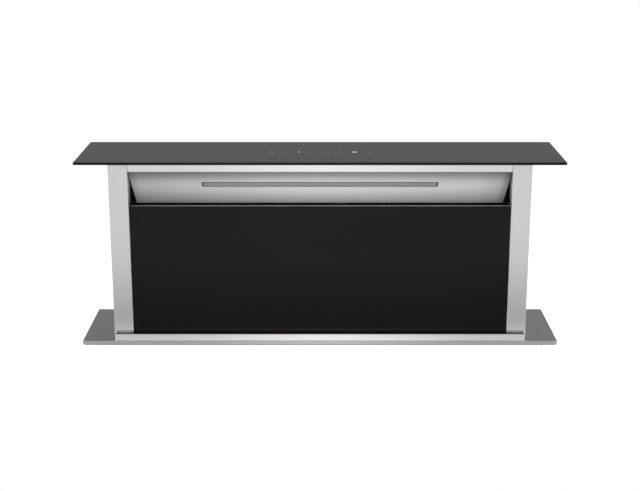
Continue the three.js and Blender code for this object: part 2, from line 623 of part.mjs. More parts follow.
// The heights of the pegs that the front panel hangs on, from the underside of the lid.
function pegHeights() {
  return [-INTAKE.sill - PEG.upper, -INTAKE.sill - GLASS.height + PEG.lower];
}

// ================================================================ baffle and light
{
  const startY = frontY + STILE.sheet + GAP;
  const slope = Math.atan2(BAFFLE.drop, BAFFLE.run);
  const halfX = stileInnerX - 2 * GAP;
  const rise = BAFFLE.sheet / Math.cos(slope);
  const fall = (run) => -INTAKE.rail - run * Math.tan(slope);
  const endY = startY + BAFFLE.run;
  const baffle = prism('x', [
    [startY, fall(0)],
    [endY, fall(BAFFLE.run)],
    [endY + BAFFLE.sheet * Math.sin(slope), fall(BAFFLE.run) + BAFFLE.sheet * Math.cos(slope)],
    [startY + BAFFLE.sheet, fall(BAFFLE.sheet) + rise],
    [startY + BAFFLE.sheet, fall(0) + BAFFLE.flange],
    [startY, fall(0) + BAFFLE.flange],
  ], [-halfX, halfX]);

  // The light lies in the baffle's slope: its own z axis points up and back, out of the sheet.
  const along = LIGHT.along;
  const centre = [0, startY + along * Math.cos(slope), -INTAKE.rail - along * Math.sin(slope)];
  const tilt = new THREE.Matrix4().makeRotationX(-slope).setPosition(...centre);
  const slotGeometry = new THREE.BoxGeometry(
    LIGHT.length + 2 * GAP, LIGHT.width + 2 * GAP, 8 * BAFFLE.sheet);
  add(tower, 'baffle', cut(baffle, solid(slotGeometry.applyMatrix4(tilt))), steel);

  const lens = block([-LIGHT.length / 2, LIGHT.length / 2], [-LIGHT.width / 2, LIGHT.width / 2],
    [-LIGHT.proud, LIGHT.thickness - LIGHT.proud]);
  add(tower, 'light_lens', lens, opal, centre, [-slope, 0, 0]);
  const boardLow = LIGHT.thickness - LIGHT.proud + GAP;
  const stripX = LIGHT.length / 2 - STRIP.endGap;
  const stripY = LIGHT.width / 2 - STRIP.sideGap;
  const strip = block([-stripX, stripX], [-stripY, stripY], [boardLow, boardLow + STRIP.thickness]);
  add(tower, 'light_board', strip, board, centre, [-slope, 0, 0]);
}

// ================================================================ front panel
{
  const high = -INTAKE.sill;
  const low = high - GLASS.height;
  const halfX = stileInnerX - GLASS.sideGap;
  const glassY = [frontY + GLASS.recess, frontY + GLASS.recess + GLASS.thickness];
  add(tower, 'front_glass', block([-halfX, halfX], glassY, [low, high]), blackGlass);

  const plateFrontY = glassY[1] + GAP;
  const plateBackY = plateFrontY + PANEL.sheet;
  const plateX = halfX - GLASS.border;
  let frame = block([-plateX, plateX], [plateFrontY, plateBackY],
    [low + GLASS.border, high - GLASS.border]);
  const pegY = frontY + PEG.setBack;
  const slot = PEG.radius + GAP;
  for (const [, side] of sides) {
    for (const z of pegHeights()) {
      const inner = stileInnerX - PANEL.hookSet - PANEL.hookSheet;
      const hookX = span(side, inner, inner + PANEL.hookSheet);
      const hookZ = [z + PANEL.hookOver - PANEL.hookHeight, z + PANEL.hookOver];
      const ear = block(hookX, [plateFrontY, pegY + PANEL.hookLength / 2], hookZ);
      const tie = block(span(side, plateX - PAST, inner + PANEL.hookSheet),
        [plateFrontY, plateBackY], hookZ);
      const across = span(side, inner - PAST, inner + PANEL.hookSheet + PAST);
      const mouth = block(across, [pegY - slot, pegY + slot], [z - PANEL.hookHeight, z]);
      const round = rod('x', slot, across, [pegY, z], 16);
      frame = union(frame, tie, cut(ear, mouth, round));
    }
  }
  add(tower, 'front_panel_frame', frame, blackPaint);
}

// ================================================================ grease filters
{
  const tilt = radians(FILTER.angle);
  const width = stileInnerX - 2 * GAP - FILTER.split / 2 - FRAME.sideGap;
  const rim = FRAME.rim;
  const half = FILTER.length / 2;
  const thick = FILTER.thickness / 2;
  for (const [label, side] of sides) {
    const hollow = (z) => block([-width / 2 + rim, width / 2 - rim], [-half + rim, half - rim], z);
    const filter = cut(
      block([-width / 2, width / 2], [-half, half], [-thick, thick]),
      hollow([thick - FRAME.recess, thick + PAST]),
      hollow([-thick - PAST, -thick + FRAME.recess]));
    add(tower, `grease_filter_${label}`, filter, aluminium,
      [side * (width + FILTER.split) / 2, FILTER.centre, -FILTER.below], [tilt, 0, 0]);
  }

  // The ledge carries the filters' lower ends; it runs between the stiles' returns.
  const lowestY = FILTER.centre - half * Math.cos(tilt) + thick * Math.sin(tilt);
  const lowestZ = -FILTER.below - half * Math.sin(tilt) - thick * Math.cos(tilt);
  const top = lowestZ - GAP;
  const front = frontY + GLASS.recess + GLASS.thickness + PANEL.sheet + 3 * GAP;
  const lipY = lowestY + LEDGE.backLip / Math.tan(tilt) + 2 * GAP;
  const ledge = prism('x', [
    [front, top - LEDGE.frontLip],
    [front + LEDGE.sheet, top - LEDGE.frontLip],
    [front + LEDGE.sheet, top - LEDGE.sheet],
    [lipY + LEDGE.sheet, top - LEDGE.sheet],
    [lipY + LEDGE.sheet, top + LEDGE.backLip],
    [lipY, top + LEDGE.backLip],
    [lipY, top],
    [front, top],
  ], [-stileInnerX + GAP, stileInnerX - GAP]);
  add(tower, 'filter_ledge', ledge, galvanised);
}

export default vent;
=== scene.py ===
"""Looks of a pop-up downdraft vent, shown raised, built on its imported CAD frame."""
import math
import bmesh
import bpy
from mathutils import Matrix, Vector


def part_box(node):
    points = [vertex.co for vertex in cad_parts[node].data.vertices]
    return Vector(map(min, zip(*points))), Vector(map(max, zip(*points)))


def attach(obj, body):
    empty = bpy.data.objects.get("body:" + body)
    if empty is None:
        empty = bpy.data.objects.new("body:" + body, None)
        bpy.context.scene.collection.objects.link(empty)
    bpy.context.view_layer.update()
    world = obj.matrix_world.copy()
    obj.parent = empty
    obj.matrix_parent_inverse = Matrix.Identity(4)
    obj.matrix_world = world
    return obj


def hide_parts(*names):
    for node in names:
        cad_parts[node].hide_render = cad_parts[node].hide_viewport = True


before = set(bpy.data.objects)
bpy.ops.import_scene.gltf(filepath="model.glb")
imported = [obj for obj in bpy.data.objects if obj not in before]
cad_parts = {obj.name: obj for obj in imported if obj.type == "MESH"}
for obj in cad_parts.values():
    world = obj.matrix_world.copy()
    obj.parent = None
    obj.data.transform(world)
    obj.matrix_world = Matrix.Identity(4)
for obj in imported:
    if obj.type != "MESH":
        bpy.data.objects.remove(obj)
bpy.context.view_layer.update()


# ======== studio
# A plain white floor and plain white surroundings under three soft lamps. The vent stands on its
# feet on the floor, grey boards and soft glows that only reflections show stand for the kitchen
# round it, and the camera looks at the raised tower from above the cook's side.
def fill(tree, node, inputs):
    """Gives each named input of a node its value, or joins it to another node's output."""
    for name, value in inputs.items():
        if isinstance(value, bpy.types.NodeSocket):
            tree.links.new(value, node.inputs[name])
        else:
            node.inputs[name].default_value = value
    return node


def add(tree, kind, inputs=(), **settings):
    """A new node with some of its settings and inputs filled in."""
    made = tree.nodes.new(kind)
    for name, value in settings.items():
        setattr(made, name, value)
    return fill(tree, made, dict(inputs))


def reckon(tree, operation, *values, **settings):
    """The result of one sum on numbers and other nodes' outputs."""
    return add(tree, "ShaderNodeMath", enumerate(values), operation=operation, **settings).outputs[0]


def ranged(tree, value, low, high, start=0.3, end=0.7, curve="LINEAR"):
    """A value from start to end, spread over low to high and held there outside them."""
    ends = {"From Min": start, "From Max": end, "To Min": low, "To Max": high}
    spread = add(tree, "ShaderNodeMapRange", {"Value": value, **ends}, interpolation_type=curve)
    return spread.outputs["Result"]


def own_place(tree):
    """Where a point lies in its piece's own frame: outputs X, Y and Z."""
    place = add(tree, "ShaderNodeTexCoord")
    return add(tree, "ShaderNodeSeparateXYZ", {0: place.outputs["Object"]}).outputs


def seen_directly(tree):
    """1 for a ray from the camera, from a reflection or through glass, and 0 for stray light."""
    path = add(tree, "ShaderNodeLightPath").outputs
    direct = reckon(tree, "MAXIMUM", path["Is Camera Ray"], path["Is Glossy Ray"])
    return reckon(tree, "MAXIMUM", direct, path["Is Transmission Ray"])


AMBIENT = 0.78
surroundings = bpy.data.worlds.new("white_surroundings")
bpy.context.scene.world = surroundings
surroundings.use_nodes = True
tree = surroundings.node_tree
fill(tree, tree.nodes["Background"], {"Color": (1, 1, 1, 1),
                                      "Strength": ranged(tree, seen_directly(tree), AMBIENT, 1, 0, 1)})


def soft_lamp(name, place, aim, size, power, spread=180, mirrored=True):
    """A rectangular lamp of that size in metres, turned to face a point."""
    lamp = bpy.data.lights.new(name, "AREA")
    lamp.shape = "RECTANGLE"
    lamp.size, lamp.size_y = size
    lamp.energy = power
    lamp.spread = math.radians(spread)
    holder = bpy.data.objects.new(name, lamp)
    holder.location = place
    holder.rotation_euler = (Vector(aim) - Vector(place)).to_track_quat("-Z", "Y").to_euler()
    holder.visible_camera = False
    holder.visible_glossy = mirrored
    bpy.context.scene.collection.objects.link(holder)


soft_lamp("lamp_middle", (0, -1.25, 1.24), (0, 0.05, 0.97), (0.6, 0.4), 5.0, spread=70, mirrored=False)
soft_lamp("lamp_left", (-2.6, -2.4, 3.2), (0, 0, 0.7), (1.8, 1.8), 14)
soft_lamp("lamp_back", (2.6, 1.9, 2.6), (0, 0, 0.6), (1.2, 1.2), 55)


def glowing(name, strength, colour=(1, 1, 1), over=None, **paint):
    """A material whose glow is worked out by a function of its tree, alone or over another finish."""
    look = bpy.data.materials.new(name)
    look.use_nodes = True
    tree = look.node_tree
    tree.nodes.remove(tree.nodes["Principled BSDF"])
    surface = add(tree, "ShaderNodeEmission", {"Color": (*colour, 1), "Strength": strength(tree)})
    if over:
        under = add(tree, over, paint)
        surface = add(tree, "ShaderNodeAddShader", {0: under.outputs[0], 1: surface.outputs[0]})
    fill(tree, tree.nodes["Material Output"], {"Surface": surface.outputs[0]})
    return look


def studio_sheet(name, look, place, half_size, tilt, hidden_from=()):
    """A flat sheet of the studio that faces up, or is tilted by degrees to face the cook."""
    shape = bmesh.new()
    bmesh.ops.create_grid(shape, x_segments=1, y_segments=1, size=1.0)
    mesh = bpy.data.meshes.new(name)
    shape.to_mesh(mesh)
    shape.free()
    mesh.materials.append(look)
    sheet = bpy.data.objects.new(name, mesh)
    sheet.location = place
    sheet.scale = (*half_size, 1)
    sheet.rotation_euler = (math.radians(tilt), 0, 0)
    bpy.context.scene.collection.objects.link(sheet)
    for kind in hidden_from:
        setattr(sheet, f"visible_{kind}", False)


FLOOR_HALF = 40.0
FLOOR_LIFT = 0.42
white_floor = glowing("white_floor",
                      lambda tree: reckon(tree, "MULTIPLY", seen_directly(tree), FLOOR_LIFT),
                      over="ShaderNodeBsdfDiffuse", Color=(0.8, 0.8, 0.8, 1))
studio_sheet("floor", white_floor, (0, 0, 0), (FLOOR_HALF, FLOOR_HALF), 0)
REFLECTED_ONLY = ("camera", "diffuse", "transmission", "shadow")


def reflected_board(name, place, half_size, tilt, colour, near, far):
    """A grey board that shows in reflections only, near to far grey across its own y."""
    def fade(tree):
        return ranged(tree, own_place(tree)["Y"], near, far, 1, -1)

    studio_sheet(name, glowing(f"{name}_paint", fade, colour), place, half_size, tilt, REFLECTED_ONLY)


# One grey board high behind the vent is what its level faces mirror towards the cook, as the dark
# wall behind a hob would be. Another lies before the flange, where a hob would be.
reflected_board("board_behind", (0, 3.0, 2.3), (6.5, 1.45), 100, (1.0, 0.95, 0.96), 0.40, 0.40)
reflected_board("board_before", (0, -0.31, 0.684), (0.75, 0.21), 0, (1.0, 0.99, 0.995), 0.43, 1.0)


def reflected_glow(name, place, half_size, strength):
    """An upright glow that shows in reflections only, strongest at its middle and gone at its rim."""
    def swell(tree):
        off = [reckon(tree, "ABSOLUTE", own_place(tree)[axis]) for axis in ("X", "Y")]
        shares = [ranged(tree, away, 0, strength ** 0.5, 1, 0, "SMOOTHSTEP") for away in off]
        return reckon(tree, "MULTIPLY", *shares)

    light = glowing(f"{name}_light", swell, over="ShaderNodeBsdfTransparent")
    studio_sheet(name, light, place, half_size, 90, REFLECTED_ONLY)


# A glow before each rail gives it the brighter middle that a window opposite would, and a small
# one before the foot of each stile lights the fold there.
reflected_glow("glow_top_rail", (0.01, -0.15, 0.995), (0.34, 0.035), 0.6)
reflected_glow("glow_front_rail", (0.01, -0.15, 0.654), (0.34, 0.018), 2.0)
reflected_glow("glow_foot_left", (-0.373, -0.0085, 0.7085), (0.034, 0.004), 1.6)
reflected_glow("glow_foot_right", (0.373, -0.0085, 0.7085), (0.034, 0.004), 1.6)

CAMERA_TILT = 74.126
camera_data = bpy.data.cameras.new("camera")
camera_data.lens = 72.30
camera_data.sensor_width = 36
camera_data.sensor_fit = "HORIZONTAL"
camera_data.clip_start = 0.05
camera_data.clip_end = 200
camera = bpy.data.objects.new("camera", camera_data)
camera.location = (0, -2.302175, 1.5372)
camera.rotation_euler = (math.radians(CAMERA_TILT), 0, 0)
bpy.context.scene.collection.objects.link(camera)
bpy.context.scene.camera = camera
bpy.context.scene.view_settings.view_transform = "Standard"

# A white paper card just below the lens stands for the white that the picture has under the
# worktop flange, so the camera's own picture ends at the flange. Only the camera sees it, and it
# is far out of the frame from every other side, where the whole housing shows.
CARD_AWAY = 0.33
PIXEL_AT_CARD = CARD_AWAY / 1285.3
MIDDLE_ROW, CARD_TOP_ROW, CARD_LOW_ROW, CARD_HALF_COLUMNS = 245.5, 344.85, 530, 345
card_top, card_low = [(MIDDLE_ROW - row) * PIXEL_AT_CARD for row in (CARD_TOP_ROW, CARD_LOW_ROW)]
bpy.context.view_layer.update()
studio_sheet("paper_card", glowing("white_paper", lambda tree: 1.0),
             camera.matrix_world @ Vector((0, (card_top + card_low) / 2, -CARD_AWAY)),
             (CARD_HALF_COLUMNS * PIXEL_AT_CARD, (card_top - card_low) / 2), CAMERA_TILT,
             ("diffuse", "glossy", "transmission", "shadow"))

# ======== levelling feet
# Zinc-plated feet: a turned disc with a rubber sole, a threaded stud and a hexagon lock nut.
# Four of them screw into the two foot rails and take up an uneven cabinet floor.
MM = 0.001
EVEN = (1, 1, 1)


def in_mm(*points):
    """Points that are given in millimetres, in metres."""
    return [tuple(value * MM for value in point) for point in points]


def streaks(tree, stretch, size, detail=2.0):
    """Noise from the piece's own place, in metres, drawn out along an axis by a small stretch."""
    place = add(tree, "ShaderNodeTexCoord").outputs["Object"]
    scaled = add(tree, "ShaderNodeMapping", {"Vector": place, "Scale": [s / size for s in stretch]})
    grain = {"Vector": scaled.outputs["Vector"], "Scale": 1.0, "Detail": detail, "Roughness": 0.55}
    return add(tree, "ShaderNodeTexNoise", grain).outputs["Fac"]


def shaded(tree, value, colour, swing):
    """The colour, darker by the swing where the value is 0 and lighter by it where it is 1."""
    dark, light = [(*[min(c * share, 1) for c in colour], 1) for share in (1 - swing, 1 + swing)]
    ends = {"Factor": value, "A": dark, "B": light}
    return add(tree, "ShaderNodeMix", ends, data_type="RGBA").outputs["Result"]


def relief(tree, value, depth, shader):
    """Raises the surface by up to the depth, in metres, where the value is 1."""
    bump = add(tree, "ShaderNodeBump", {"Strength": 1.0, "Distance": depth, "Height": value})
    fill(tree, shader, {"Normal": bump.outputs["Normal"]})


def new_look(name):
    """A new material, its tree and its shader."""
    look = bpy.data.materials.new(name)
    look.use_nodes = True
    return look, look.node_tree, look.node_tree.nodes["Principled BSDF"]


def finish(name, colour, rough, metal, stretch=EVEN, size=0.001, swing=0.05, gloss_swing=0.05,
           depth=0.0, cloud=0.08, **sockets):
    """A surface with fine grain, slow clouding of its colour, uneven gloss and slight relief."""
    look, tree, shader = new_look(name)
    grain = streaks(tree, stretch, size)
    clouds = ranged(tree, streaks(tree, EVEN, cloud), 0, 1)
    both = add(tree, "ShaderNodeMix", {"Factor": 0.5, "A": ranged(tree, grain, 0, 1), "B": clouds})
    gloss = ranged(tree, grain, max(rough - gloss_swing, 0.02), min(rough + gloss_swing, 1))
    shade = shaded(tree, both.outputs["Result"], colour, swing)
    fill(tree, shader, {"Metallic": metal, "Base Color": shade, "Roughness": gloss, **sockets})
    if depth:
        relief(tree, grain, depth, shader)
    return look


zinc = finish("zinc_plating", (0.50, 0.51, 0.52), 0.36, 1.0, size=0.004, swing=0.10, depth=0.00003,
              cloud=0.015)
sole_rubber = finish("sole_rubber", (0.022, 0.022, 0.023), 0.8, 0.0, size=0.0012, depth=0.00004)


def smooth_group(angle):
    """Nodes that shade faces smooth except across edges sharper than the angle."""
    name = f"smooth_below_{angle}"
    if name in bpy.data.node_groups:
        return bpy.data.node_groups[name]
    group = bpy.data.node_groups.new(name, "GeometryNodeTree")
    for way in ("INPUT", "OUTPUT"):
        group.interface.new_socket("Geometry", in_out=way, socket_type="NodeSocketGeometry")
    source = add(group, "NodeGroupInput")
    faces = add(group, "GeometryNodeSetShadeSmooth",
                {"Geometry": source.outputs[0], "Shade Smooth": True}, domain="FACE")
    turn = add(group, "GeometryNodeInputMeshEdgeAngle").outputs["Unsigned Angle"]
    sharp = add(group, "FunctionNodeCompare", {"A": turn, "B": math.radians(angle)},
                data_type="FLOAT", operation="GREATER_THAN").outputs["Result"]
    edges = add(group, "GeometryNodeSetShadeSmooth",
                {"Geometry": faces.outputs[0], "Selection": sharp, "Shade Smooth": False}, domain="EDGE")
    add(group, "NodeGroupOutput", {0: edges.outputs[0]})
    return group


def rounded(piece, width, angle):
    """Rounds the edges sharper than the angle and keeps the flat faces flat."""
    smooth = piece.modifiers.new("smooth", "NODES")
    smooth.node_group = smooth_group(angle)
    if width:
        bevel = piece.modifiers.new("bevel", "BEVEL")
        bevel.width = width
        bevel.segments = 2
        bevel.limit_method = "ANGLE"
        bevel.angle_limit = math.radians(angle)
        bevel.use_clamp_overlap = True
        bevel.harden_normals = True


def dress(node, look, width, angle=32):
    """Gives a CAD node its finish, joins its loose faces and rounds its edges."""
    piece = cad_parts[node]
    piece.data.materials.clear()
    piece.data.materials.append(look)
    piece.modifiers.new("weld", "WELD").merge_threshold = 0.00001
    rounded(piece, width, angle)


def make(name, shape, looks, body, width=0.0, angle=32, stands_for=()):
    """Turns a drawn shape into a piece that rides on a body and has its finish."""
    bmesh.ops.recalc_face_normals(shape, faces=shape.faces)
    mesh = bpy.data.meshes.new(name)
    shape.to_mesh(mesh)
    shape.free()
    piece = bpy.data.objects.new(name, mesh)
    bpy.context.scene.collection.objects.link(piece)
    for look in looks if isinstance(looks, list) else [looks]:
        mesh.materials.append(look)
    rounded(piece, width, angle)
    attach(piece, body)
    if stands_for:
        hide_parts(*stands_for)


def at(centre, up=(0, 0, 1), turn=0.0):
    """A placing whose own z runs along the given direction."""
    tilt = Vector((0, 0, 1)).rotation_difference(Vector(up)).to_matrix().to_4x4()
    return Matrix.Translation(Vector(centre)) @ tilt @ Matrix.Rotation(turn, 4, "Z")


def ring(shape, place, radius, height, steps, wave=0.0):
    """Points round the placing's z axis, drawn out to six tips by a wave, or one point at radius 0."""
    points = []
    for k in range(steps if radius else 1):
        angle = 2 * math.pi * k / steps
        reach = radius * (1 + wave * math.cos(6 * angle))
        spot = Vector((reach * math.cos(angle), reach * math.sin(angle), height))
        points.append(shape.verts.new(place @ spot))
    return points


def bands(shape, rings, look=0, caps=False):
    """Joins each ring of points to the next with faces, and closes both ends where caps are wanted."""
    for one, two in zip(rings, rings[1:]):
        count = max(len(one), len(two))
        for k in range(count):
            n = (k + 1) % count
            corners = [one[k % len(one)], one[n % len(one)], two[n % len(two)], two[k % len(two)]]
            corners = list(dict.fromkeys(corners))
            if len(corners) > 2:
                shape.faces.new(corners).material_index = look
    if caps:
        for end in (rings[0][::-1], rings[-1]):
            shape.faces.new(end).material_index = look


def lathe(shape, profile, place, steps, look=0):
    """Turns a profile of (radius, height) points round the placing's z axis."""
    bands(shape, [ring(shape, place, radius, height, steps) for radius, height in profile], look)


def hexagon(shape, place, across, low, high):
    """A chamfered hexagon, as a nut or a bolt head has, from a low to a high height."""
    chamfer, corner = across * 0.07, across / math.sqrt(3)
    levels = [(0.93, low), (1.0, low + chamfer), (1.0, high - chamfer), (0.93, high)]
    bands(shape, [ring(shape, place, corner * share, height, 6) for share, height in levels], caps=True)


def thread(shape, place, low, high, radius, depth, pitch, starts=1, steps=24):
    """A screw thread: rings of points whose radius follows the ridge that winds round the bar."""
    levels = int(round((high - low) / (pitch / 6))) + 1
    rings = []
    for level in range(levels):
        height = low + (high - low) * level / (levels - 1)
        points = []
        for k in range(steps):
            angle = 2 * math.pi * k / steps
            phase = (height / pitch - starts * angle / (2 * math.pi)) % 1.0
            ridge = min(max(abs(phase * 2 - 1) * 2.0 - 0.5, 0), 1)
            reach = radius - depth * (1 - ridge)
            spot = Vector((reach * math.cos(angle), reach * math.sin(angle), height))
            points.append(shape.verts.new(place @ spot))
        rings.append(points)
    bands(shape, rings, caps=True)


M10 = {"radius": 5 * MM, "depth": 0.6 * MM, "pitch": 1.5 * MM}
SOLE = in_mm((0, 0), (19.4, 0), (20, 0.6), (20, 2.2), (0, 2.2))
FOOT_DISC = in_mm((0, 2.2), (19.2, 2.2), (19.6, 3.4), (18.6, 4.2), (9.5, 5.0), (7.6, 6.8), (7.0, 7.6),
                  (0, 7.6))
LOCK_NUT, FOOT_HEXAGON = 16 * MM, 13 * MM
for end in ("front", "rear"):
    for side in ("left", "right"):
        node = f"levelling_foot_{end}_{side}"
        low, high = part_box(node)
        place = at(((low.x + high.x) / 2, (low.y + high.y) / 2, low.z))
        top = high.z - low.z
        shape = bmesh.new()
        lathe(shape, SOLE, place, 48, look=1)
        lathe(shape, FOOT_DISC, place, 48)
        thread(shape, place, 7.0 * MM, top, **M10)
        hexagon(shape, place, LOCK_NUT, top - 8.8 * MM, top - 1.0 * MM)
        hexagon(shape, place, FOOT_HEXAGON, 7.2 * MM, 10.6 * MM)
        make(f"{node}_turned", shape, [zinc, sole_rubber], "housing",
             stands_for=[node])


# ======== foot rails
# Two channels folded from galvanised sheet run from front to back under the housing. Each is
# held to the well's floor by flat rivets, and each end is nicked where the sheet was cropped.
def spangled(name, colour, rough, crystal, contrast):
    """Hot-dip galvanised sheet: zinc crystals that differ a little in shade and gloss."""
    look, tree, shader = new_look(name)
    place = add(tree, "ShaderNodeTexCoord").outputs["Object"]
    ripple = add(tree, "ShaderNodeTexNoise", {"Vector": place, "Scale": 60.0, "Detail": 2.0})
    warp = add(tree, "ShaderNodeMix", {"Factor": 0.06, "A": place, "B": ripple.outputs["Color"]},
               data_type="VECTOR")
    crystals = add(tree, "ShaderNodeTexVoronoi",
                   {"Vector": warp.outputs["Result"], "Scale": 1.0 / crystal, "Randomness": 1.0})
    tone = add(tree, "ShaderNodeSeparateColor", {"Color": crystals.outputs["Color"]}).outputs
    clouds = ranged(tree, streaks(tree, EVEN, 0.35), -0.15, 0.15)
    shade = reckon(tree, "ADD", tone["Red"], clouds, use_clamp=True)
    fill(tree, shader, {"Metallic": 0.92, "Base Color": shaded(tree, shade, colour, contrast),
                        "Roughness": ranged(tree, tone["Green"], rough - 0.08, rough + 0.10, 0, 1)})
    relief(tree, streaks(tree, EVEN, 0.0009), 0.00002, shader)
    return look


galvanised = spangled("galvanised_sheet", (0.39, 0.405, 0.42), 0.33, crystal=0.011, contrast=0.11)


def rivets(name, spots, out, body="housing", radius=2.4 * MM, high=1.0 * MM, look=zinc):
    """Domed rivet heads with a pin hole, one at each spot, standing out of the sheet."""
    shape = bmesh.new()
    profile = [(radius, -0.1 * MM)]
    profile += [(radius * share, high * rise) for share, rise in
                ((1, 0.2), (0.86, 0.62), (0.55, 0.93), (0.34, 1), (0.3, 0.6), (0, 0.6))]
    for spot in spots:
        lathe(shape, profile, at(spot, out), 16)
    make(name, shape, look, body, angle=50)


SIDES = (("left", -1), ("right", 1))


def outer_face(node, sign):
    """A node's lowest and highest corners, and the x of its face on that side."""
    low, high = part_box(node)
    return low, high, high.x if sign > 0 else low.x


for side, sign in SIDES:
    dress(f"foot_rail_{side}", galvanised, 0.8 * MM)
    low, high, face = outer_face(f"foot_rail_{side}", sign)
    spots = [(face, low.y + (high.y - low.y) * k / 8, high.z - 8 * MM) for k in range(1, 8)]
    rivets(f"foot_rail_rivets_{side}", spots, (sign, 0, 0))

# ======== well
# A deep narrow box of galvanised sheet hangs under the worktop and takes the tower when it is
# down. Its walls are riveted at the corners, and beads pressed in them keep them from drumming.
for node in ("well_front", "well_back", "well_side_left", "well_side_right", "well_floor"):
    dress(node, galvanised, 0.35 * MM)


def beads(name, lines, out, width, high, body="housing", look=galvanised):
    """Stiffening beads pressed in a sheet: each is a long low ridge with rounded ends."""
    shape = bmesh.new()
    face, tip, rim_sunk = Vector(out), width / 2, 0.02 * MM
    marks = [-tip * math.cos(math.pi / 2 * k / 5) for k in range(6)]
    for start, end in lines:
        start, end = Vector(start), Vector(end)
        along = (end - start).normalized()
        across = face.cross(along)
        length = (end - start).length
        rows = []
        for s in marks + [length - m for m in reversed(marks)]:
            beyond = max(-s, s - length, 0) / tip
            share = math.sqrt(max(1 - beyond * beyond, 0))
            row = []
            for t in [-1 + k / 4 for k in range(9)]:
                rise = high * (1 - t * t) ** 0.8 * share - rim_sunk
                row.append(shape.verts.new(start + along * s + across * (t * tip * share) + face * rise))
            rows.append(row)
        for one, two in zip(rows, rows[1:]):
            for k in range(8):
                shape.faces.new([one[k], one[k + 1], two[k + 1], two[k]])
    bmesh.ops.remove_doubles(shape, verts=shape.verts, dist=0.000001)
    make(name, shape, look, body, angle=40)


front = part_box("well_front")[0].y
back_low, back_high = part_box("well_back")
back = back_high.y
lines = [((x * MM, back, back_low.z + 70 * MM), (x * MM, back, back_high.z - 90 * MM))
         for x in (-300, -150, 0, 150, 300)]
beads("well_back_beads", lines, (0, 1, 0), 22 * MM, 3.6 * MM)
lines = [((-360 * MM, front, z * MM), (200 * MM, front, z * MM)) for z in (640, 560, 480)]
lines += [((x * MM, front, 90 * MM), (x * MM, front, 390 * MM)) for x in (-370, 270, 340)]
beads("well_front_beads", lines, (0, -1, 0), 20 * MM, 3.2 * MM)
RIVET_STEP = 88 * MM
for side, sign in SIDES:
    low, high, face = outer_face(f"well_side_{side}", sign)
    lines = [((face, y * MM, 90 * MM), (face, y * MM, 590 * MM)) for y in (32, 110)]
    beads(f"well_side_beads_{side}", lines, (sign, 0, 0), 18 * MM, 3.0 * MM)
    spots = [(face, y, 60 * MM + RIVET_STEP * k)
             for y in (low.y + 7 * MM, high.y - 7 * MM) for k in range(8)]
    rivets(f"well_side_rivets_{side}", spots, (sign, 0, 0))
corner_rivets = [(s * 403 * MM, 62 * MM + RIVET_STEP * k) for s in (-1, 1) for k in range(8)]
floor_rivets = [(x * MM, 44 * MM) for x in range(-330, 331, 110)]
rivets("well_back_rivets", [(x, back, z) for x, z in corner_rivets + floor_rivets], (0, 1, 0))
rivets("well_front_rivets", [(x, front, z) for x, z in corner_rivets], (0, -1, 0))

# ======== blower box and cover
# The fan's box is folded from galvanised sheet with lips round its open front, and bolted to the
# well. Its cover is cross-broken so that it lies stiff and quiet, and held by countersunk screws.
COVER_SHEET, COVER_BREAK, COVER_RIM, SCREW_LINE = 0.8 * MM, 5.0 * MM, 16 * MM, 8 * MM
dress("blower_box", galvanised, 0.5 * MM)
cover_low, cover_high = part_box("blower_cover")
front_face = cover_high.y - COVER_SHEET
shape = bmesh.new()
rims = []
for y in (front_face, cover_high.y):
    rings = []
    for inset in (0, COVER_RIM):
        left, right = cover_low.x + inset, cover_high.x - inset
        bottom, top = cover_low.z + inset, cover_high.z - inset
        corners = [(left, bottom), (right, bottom), (right, top), (left, top)]
        rings.append([shape.verts.new((x, y, z)) for x, z in corners])
    middle = (cover_low + cover_high) / 2
    bands(shape, [*rings, [shape.verts.new((middle.x, y + COVER_BREAK, middle.z))]])
    rims.append(rings[0])
bands(shape, rims)
make("blower_cover_sheet", shape, galvanised, "housing", width=0.25 * MM, angle=0.4,
     stands_for=["blower_cover"])
screw_steel = finish("screw_zinc", (0.42, 0.43, 0.44), 0.3, 1.0, size=0.0012, swing=0.12, depth=0.00001,
                     cloud=0.006)


def sunk_screws(name, spots, out, radius, high):
    """Low screw heads with a star-shaped recess, standing a little out of the sheet."""
    shape = bmesh.new()
    profile = [(1.0, -0.1, 0), (1.0, 0.5, 0), (0.93, 1.0, 0), (0.62, 1.0, 0), (0.50, 1.0, 0.10),
               (0.47, 0.2, 0.10), (0, 0.12, 0)]
    for index, spot in enumerate(spots):
        place = at(spot, out, turn=0.7 * index)
        bands(shape, [ring(shape, place, radius * share, high * height, 36, wave)
                      for share, height, wave in profile])
    make(name, shape, screw_steel, "housing", angle=40)


spots = [(x * MM, front_face, z) for x in (-195, -65, 65, 195)
         for z in (cover_low.z + SCREW_LINE, cover_high.z - SCREW_LINE)]
spots += [(x, front_face, cover_low.z + share * (cover_high.z - cover_low.z))
          for x in (cover_low.x + SCREW_LINE, cover_high.x - SCREW_LINE) for share in (0.36, 0.64)]
sunk_screws("blower_cover_screws", spots, (0, -1, 0), 4.2 * MM, 0.4 * MM)

